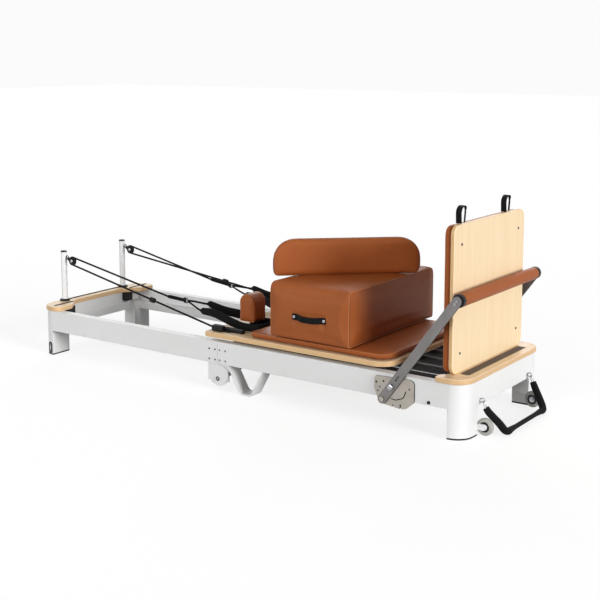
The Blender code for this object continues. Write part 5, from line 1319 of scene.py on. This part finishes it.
panel = cushions["panel_cushion"]
angle, foot = math.radians(panel["turn"]), Vector(panel["pivot"])
along = Vector((math.cos(angle), math.sin(angle), 0.0))
facing = Vector((along.y, -along.x, 0.0))
panelOutline = roundedBox((0.0, 0.0), (0.620, 0.153), [0.016, 0.026, 0.088, 0.088], 10)
ring = [foot + along * u + Vector((0, 0, v)) - facing * 0.0205 for u, v in panelOutline]
seamOn("panel_cushion", "panel_welt_back", densified(ring), 0.0019, 0.0003, "piping")

restWelts = {"bottom": 0.2864, "top": 0.411, "half": 0.047, "radii": [0.004, 0.004, 0.0388, 0.0388]}
(restLow, restHigh), bottom, top = layout["restX"], restWelts["bottom"], restWelts["top"]
restOutline = roundedBox((restLow, bottom), (restHigh, top), restWelts["radii"], 8)
for end, side in sides.items():
    for face, way in sides.items():
        y = side * layout["restY"] + way * restWelts["half"]
        ring = densified([(x, y, z) for x, z in restOutline], 0.005)
        seamOn("shoulder_rest_" + end, "rest_welt_" + end + "_" + face, ring, 0.0013, 0.0001)

padOutside = roundedBox((-0.307, 0.2388), (0.307, 0.8138), 0.036, 8)
ring = densified([(0.9715, y, z) for y, z in padOutside])
seamOn("jump_board_pad", "jump_welt", ring, 0.0018, 0.0001)
low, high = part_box("carriage_cushion")
corners = [(high.x, low.y), (high.x, high.y), (low.x, high.y), (low.x, low.y)]
cushionOutline = rounded(corners, [0.060, 0.060, 0.022, 0.022], 8)
ring = densified([(x, y * 1.033, 0.2806) for x, y in cushionOutline])
seamOn("carriage_cushion", "carriage_welt", ring, 0.0019, 0.0003)

print("straps and screws")


def headMesh(radius, rise):
    # a pan head with a socket, facing +Z from the origin
    body = bmesh.new()
    round20 = {"cap_ends": True, "segments": 20, "radius1": radius, "radius2": radius}
    bmesh.ops.create_cone(body, depth=rise, **round20)
    bmesh.ops.translate(body, vec=(0, 0, rise / 2), verts=body.verts)
    rim = list([face for face in body.faces if face.normal.z > 0.9][0].edges)
    eased = {"offset": rise * 0.45, "affect": "EDGES", "segments": 3, "profile": 0.5}
    bmesh.ops.bevel(body, geom=rim, material=-1, **eased)
    top = [face for face in body.faces if face.normal.z > 0.9]
    top = max(top, key=lambda face: face.calc_area())
    bmesh.ops.inset_individual(body, faces=[top], thickness=radius * 0.42)
    sunk = bmesh.ops.extrude_discrete_faces(body, faces=[top])["faces"]
    bmesh.ops.translate(body, vec=(0, 0, -rise * 0.6), verts=sunk[0].verts)
    return meshFrom(body)


def screwRow(name, places, facing, size, body, slot, look="blackSatin"):
    # the same head at every place, turned to face one way; size is radius and rise
    single = headMesh(*size)
    turn = up.rotation_difference(Vector(facing)).to_matrix().to_4x4()
    meshes = []
    for at in places:
        copy = single.copy()
        copy.transform(Matrix.Translation(at) @ turn)
        meshes.append(copy)
    place(name, joined(meshes), look, body, slot)


screwPlan = {"hinge": (0.0040, 0.0016), "rail": (0.0070, 0.0030), "jump": (0.0052, 0.0018)}
hingeRows = {"foot": (0.012, 0.043), "head": (-0.045, -0.013), "z": (0.135, 0.180)}
seam, halfWidth = layout["seam"], layout["halfWidth"]
hingeFaces = {}
for end, side in sides.items():
    leaf = side * max(abs(corner.y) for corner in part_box("hinge_leaf_foot_" + end))
    hingeFaces[end] = leaf
    for part, face in (("foot", leaf), ("head", side * halfWidth)):
        rows = [(seam + x, face, z) for x in hingeRows[part] for z in hingeRows["z"]]
        name = "hinge_screws_" + part + "_" + end
        screwRow(name, rows, (0, side, 0), screwPlan["hinge"], part + "_frame", "hinge_white")
    bolt = [(0.93825, side * halfWidth, 0.130)]
    screwRow("rail_bolt_" + end, bolt, (0, side, 0), screwPlan["rail"], "foot_frame", "white_coat")
places = [(layout["jumpFace"], y, z) for y in (-0.249, 0.249) for z in (0.3158, 0.7368)]
screwRow("jump_screws", places, (1, 0, 0), screwPlan["jump"], "jump_board", "maple_jump")

gripPlan = {"corner": 0.0095, "bevel": 0.0003, "ribs": 6, "rise": 0.0010, "inset": (0.005, 0.012)}
low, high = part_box("platform_grip_strip")
insetX, insetY = gripPlan["inset"]
outline = roundedBox(low.xy, high.xy, gripPlan["corner"], 6)
ribs = [slab(outline, low.z, high.z, gripPlan["bevel"])]
for index in range(gripPlan["ribs"]):
    x = low.x + insetX + (high.x - low.x - 2 * insetX) * index / (gripPlan["ribs"] - 1)
    ends = [(x, low.y + insetY, high.z), (x, high.y - insetY, high.z)]
    ribs.append(wire(ends, gripPlan["rise"], sides=8))
place("grip_mat", joined(ribs), "grip", "foot_frame", "grip_strip", "platform_grip_strip")

# black rods in the head board's grooves are painted shade that makes the grooves show dark: x, y,
# radius and half length
grooveShadePlan = [
    (-1.18075, 0.0, 0.0037, 0.172),
    (-1.12175, -0.261, 0.0032, 0.060),
    (-1.12175, 0.261, 0.0032, 0.060),
]
grooveShades, z = [], layout["boardTop"] + 0.0004
for x, y, radius, reach in grooveShadePlan:
    route = [(x, y + reach * (step / 6 - 1), z) for step in range(13)]
    grooveShades.append(wire(route, radius, sides=12))
place("head_board_beads", joined(grooveShades), "rubber", "head_frame", "maple_head")

# the fold hinge's pins: a dark washer round a bright end
washer = [
    (0.0056, -0.0004),
    (0.0098, -0.0004),
    (0.0098, 0.0008),
    (0.0090, 0.0016),
    (0.0062, 0.0016),
    (0.0056, 0.0010),
]
pinEnd = [(0.0, -0.0004), (0.0054, -0.0004), (0.0054, 0.0010), (0.0046, 0.0019), (0.0, 0.0021)]
for end, side in sides.items():
    at = (seam, hingeFaces[end], layout["hingeZ"])
    turned = lathe(washer, at, (0, side, 0), 32)
    place("hinge_washer_" + end, turned, "blackSatin", "foot_frame", "hinge_white")
    turned = lathe(pinEnd, at, (0, side, 0), 32)
    place("hinge_pin_end_" + end, turned, "chrome", "foot_frame", "hinge_white")

# a dark sheet behind each footbar bracket is painted shade that shows in its slots and holes
slotShadePlan = {"share": 0.955, "face": 0.34019, "thick": 0.0002}
for end, side in sides.items():
    slotShade = solidCopy("footbar_bracket_" + end)
    hull = bmesh.ops.convex_hull(slotShade, input=slotShade.verts)
    spare = vertsIn(hull["geom_interior"] + hull["geom_unused"])
    bmesh.ops.delete(slotShade, geom=spare, context="VERTS")
    low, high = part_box("footbar_bracket_" + end)
    middle = (low + high) / 2
    sizes = (slotShadePlan["share"], slotShadePlan["thick"] / (high.y - low.y), slotShadePlan["share"])
    bmesh.ops.scale(slotShade, vec=sizes, space=Matrix.Translation(-middle), verts=slotShade.verts)
    out = side * slotShadePlan["face"] - middle.y
    bmesh.ops.translate(slotShade, vec=(0, out, 0), verts=slotShade.verts)
    place("bracket_liner_" + end, meshFrom(slotShade), "gap", "foot_frame", "bracket_steel")

# a grey patch in the outer corner of the near leg at the head end is painted shade for a recess
# there, ringed by a black rim
legRecessPlan = {
    "x": -1.1405,
    "z": 0.0345,
    "wide": 0.0115,
    "tall": 0.0255,
    "rim": 0.0030,
    "thick": 0.0009,
}
skinBody = solidCopy("head_frame_weldment")
skin = BVHTree.FromBMesh(skinBody)
skinBody.free()
recessRim, recessShade = [], bmesh.new()
for u, v in circle(32):
    straight = math.copysign(legRecessPlan["tall"] - legRecessPlan["wide"], v)
    high = legRecessPlan["z"] + straight + legRecessPlan["wide"] * v
    hit = skin.ray_cast((legRecessPlan["x"] + legRecessPlan["wide"] * u, -0.36, high), (0, 1, 0))
    recessRim.append(hit[0] + hit[1] * 0.0004)
    recessShade.verts.new(hit[0] + hit[1] * 0.0008)
bmesh.ops.contextual_create(recessShade, geom=recessShade.verts)
bmesh.ops.poke(recessShade, faces=recessShade.faces)
bmesh.ops.solidify(recessShade, geom=recessShade.faces, thickness=legRecessPlan["thick"])
# the grey patch paints the recess's shade
place("leg_glide", meshFrom(recessShade), "arm", "head_frame", "white_coat_head")
rim = wire(recessRim, legRecessPlan["rim"], closed=True)
place("leg_glide_rim", rim, "blackSatin", "head_frame", "white_coat_head")

# the box's carrying strap: a flat band that stands off the leather between two screws
low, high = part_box("box_handle")
left, right, z, thick = low.x, high.x, (low.z + high.z) / 2, 0.0030
face, out = high.y - 0.0016, low.y + 0.0016
strapMarks = [
    (left + 0.001, face, z, 0.025, thick),
    (left + 0.014, face, z, 0.027, thick),
    (left + 0.032, face - 0.004, z - 0.001, 0.026, thick),
    (left + 0.052, out, z - 0.003, 0.025, thick),
    ((left + right) / 2, out, z - 0.004, 0.025, thick),
    (right - 0.052, out, z - 0.003, 0.025, thick),
    (right - 0.032, face - 0.004, z - 0.001, 0.026, thick),
    (right - 0.014, face, z, 0.027, thick),
    (right - 0.001, face, z, 0.025, thick),
]
band = sweep(strapOutline, banded(strapMarks, 5, up))
place("box_strap", band, "webbing", "sitting_box", "handle_black", "box_handle")
places = [(x, face - 0.0014, z) for x in (left + 0.010, right - 0.010)]
screwSize = (0.0062, 0.0022)
screwRow("box_strap_screws", places, (0, -1, 0), screwSize, "sitting_box", "handle_black", "chrome")

# the jump board's lifting loops: webbing on edge, its second leg a little turned
liftPlan = {
    "near": -0.213,
    "far": 0.175,
    "span": 0.062,
    "rise": 0.066,
    "web": 0.024,
    "thick": 0.0026,
}
for end in sides:
    node = "jump_board_loop_" + end
    middle, foot, thick = liftPlan[end], layout["loopFoot"], liftPlan["thick"]
    half, top = (liftPlan["span"] - thick) / 2, foot + liftPlan["rise"] - thick / 2
    left, right = middle - half, middle + half
    low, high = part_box(node)
    corners = [(left + 0.004, foot), (left, top), (right, top), (right - 0.010, foot)]
    legs = rounded(corners, [0.0, half * 0.92, half * 0.80, 0.0], 10)
    stations = []
    for index, (y, z) in enumerate(legs):
        share = index / (len(legs) - 1)
        lean = math.radians(-52 * min(max(share - 0.55, 0.0) / 0.25, 1.0))
        across = (math.cos(lean), math.sin(lean), 0.0)
        stations.append((((low.x + high.x) / 2, y, z), across, liftPlan["web"], thick))
    band = sweep(strapOutline, stations)
    place("lift_loop_" + end, band, "webbing", "jump_board", "webbing_black", node)

print("carried-over parts")
pegs = (lambda at, normal: at.z < 0.2386, "chrome")
carryOver("jump_board_panel", "jump_panel", "mapleUp", [pegs])
clampPlan = {"half": 0.0226, "x": (-1.159, -1.119), "z": (0.119, 0.2165)}


def onClamp(at, normal):
    # the blocks that hold the posts below the head board
    (lowX, highX), (lowZ, highZ) = clampPlan["x"], clampPlan["z"]
    beside = abs(abs(at.y) - layout["ropeY"]) < clampPlan["half"]
    return beside and lowX < at.x < highX and lowZ < at.z < highZ and normal.x > -0.9


carryOver("head_frame_weldment", "head_rails", "white", [(onClamp, "blackSatin")])
lookSlots = {
    "white": ("white_coat", "white_coat_head", "hinge_white", "post_white"),
    "mapleFlat": ("maple_foot", "maple_head"),
    "mapleLong": ("maple_carriage",),
    "mapleUp": ("maple_jump",),
    "blackSteel": ("steel_black", "underframe_black"),
    "bracket": ("bracket_steel",),
    "arm": ("arm_grey",),
    "rubber": ("sole_rubber",),
    "roller": ("roller_grey",),
    "blackPlastic": ("base_black",),
}
slotLooks = {slot: look for look, slots in lookSlots.items() for slot in slots}
roundedParts = {
    "foot_frame_weldment": "foot_rails",
    "foot_platform": "end_platform",
    "head_board": "head_deck",
    "carriage_board": "carriage_deck",
}
pairedParts = {
    "foot_sole_": "foot_shoe_",
    "head_sole_": "head_shoe_",
    "hinge_leaf_foot_": "hinge_plate_foot_",
    "hinge_leaf_head_": "hinge_plate_head_",
}
roundedParts |= {node + end: name + end for node, name in pairedParts.items() for end in sides}
for node, name in roundedParts.items():
    carryOver(node, name, slotLooks[nodeSlot[node]])
# the cut edges of the flat plates are dark
cutEdge = (lambda at, normal: abs(normal.y) < 0.6, "blackSteel")
for end in sides:
    for node, name in (("footbar_bracket_", "bracket_plate_"), ("footbar_arm_", "bar_arm_")):
        carryOver(node + end, name + end, slotLooks[nodeSlot[node + end]], [cutEdge])
for node, obj in frame["nodes"].items():
    if not obj.hide_render:
        for slot in obj.material_slots:
            slot.material = looks[slotLooks[nodeSlot[node]]]

print("floor and light")
floorPlan = {"size": 60.0, "glow": 0.79, "albedo": 0.30, "drift": 0.98}


def seenDirectly(tree):
    # 1 for rays that show a surface to the camera or in a mirror, 0 for those that light
    rays = put(tree, "LightPath").outputs
    shown = maths(tree, "MAXIMUM", rays["Is Camera Ray"], rays["Is Glossy Ray"])
    return maths(tree, "MAXIMUM", shown, rays["Is Transmission Ray"])


body = bmesh.new()
bmesh.ops.create_grid(body, x_segments=1, y_segments=1, size=floorPlan["size"] / 2)
mesh = bpy.data.meshes.new("studio_floor")
body.to_mesh(mesh)
body.free()
floor = linked("studio_floor", mesh)
made, tree, shader, coords = newLook("studio floor", {"Roughness": 0.9, "Specular IOR Level": 0.0})
grey = floorPlan["albedo"]
light, dark = [(shade, shade, shade, 1.0) for shade in (grey, grey * floorPlan["drift"])]
base = mixed(tree, drift(tree, coords["Object"], 0.8, 0.4), light, dark)
tree.links.new(base, shader.inputs["Base Color"])
glow = put(tree, "Emission", {"Color": (1, 1, 1, 1), "Strength": floorPlan["glow"]})
none = put(tree, "Emission", {"Color": (0, 0, 0, 1), "Strength": 0.0})
chosen = put(tree, "MixShader", {0: seenDirectly(tree), 1: none.outputs[0], 2: glow.outputs[0]})
total = put(tree, "AddShader", {0: shader.outputs[0], 1: chosen.outputs[0]})
output = next(node for node in tree.nodes if node.type == "OUTPUT_MATERIAL")
tree.links.new(total.outputs[0], output.inputs["Surface"])
mesh.materials.append(made)

lightPlan = {
    "sky": 0.27,
    "background": 0.965,
    "aim": (0.0, 0.0, 0.3),
    "lamps": {
        "key": {"from": (6.0, -0.9, 1.7), "energy": 2.75, "angle": 22.0},
        "fill": {"from": (-0.8, -6.0, 1.4), "energy": 1.86, "angle": 40.0},
        "back": {"from": (-3.0, 5.0, 3.0), "energy": 0.9, "angle": 40.0},
    },
}
world = bpy.data.worlds.new("studio")
bpy.context.scene.world = world
world.use_nodes = True
tree = world.node_tree
tree.nodes.clear()
sky, white = [
    put(tree, "Background", {"Color": (1, 1, 1, 1), "Strength": lightPlan[name]}).outputs[0]
    for name in ("sky", "background")
]
chosen = put(tree, "MixShader", {0: seenDirectly(tree), 1: sky, 2: white})
put(tree, "OutputWorld", {"Surface": chosen.outputs[0]})
for name, plan in lightPlan["lamps"].items():
    lamp = bpy.data.lights.new(name, "SUN")
    lamp.energy, lamp.angle = plan["energy"], math.radians(plan["angle"])
    holder = linked(name, lamp)
    holder.location = plan["from"]
    beam = Vector(lightPlan["aim"]) - Vector(plan["from"])
    holder.rotation_euler = beam.to_track_quat("-Z", "Y").to_euler()

bpy.context.view_layer.update()
print("finishing")
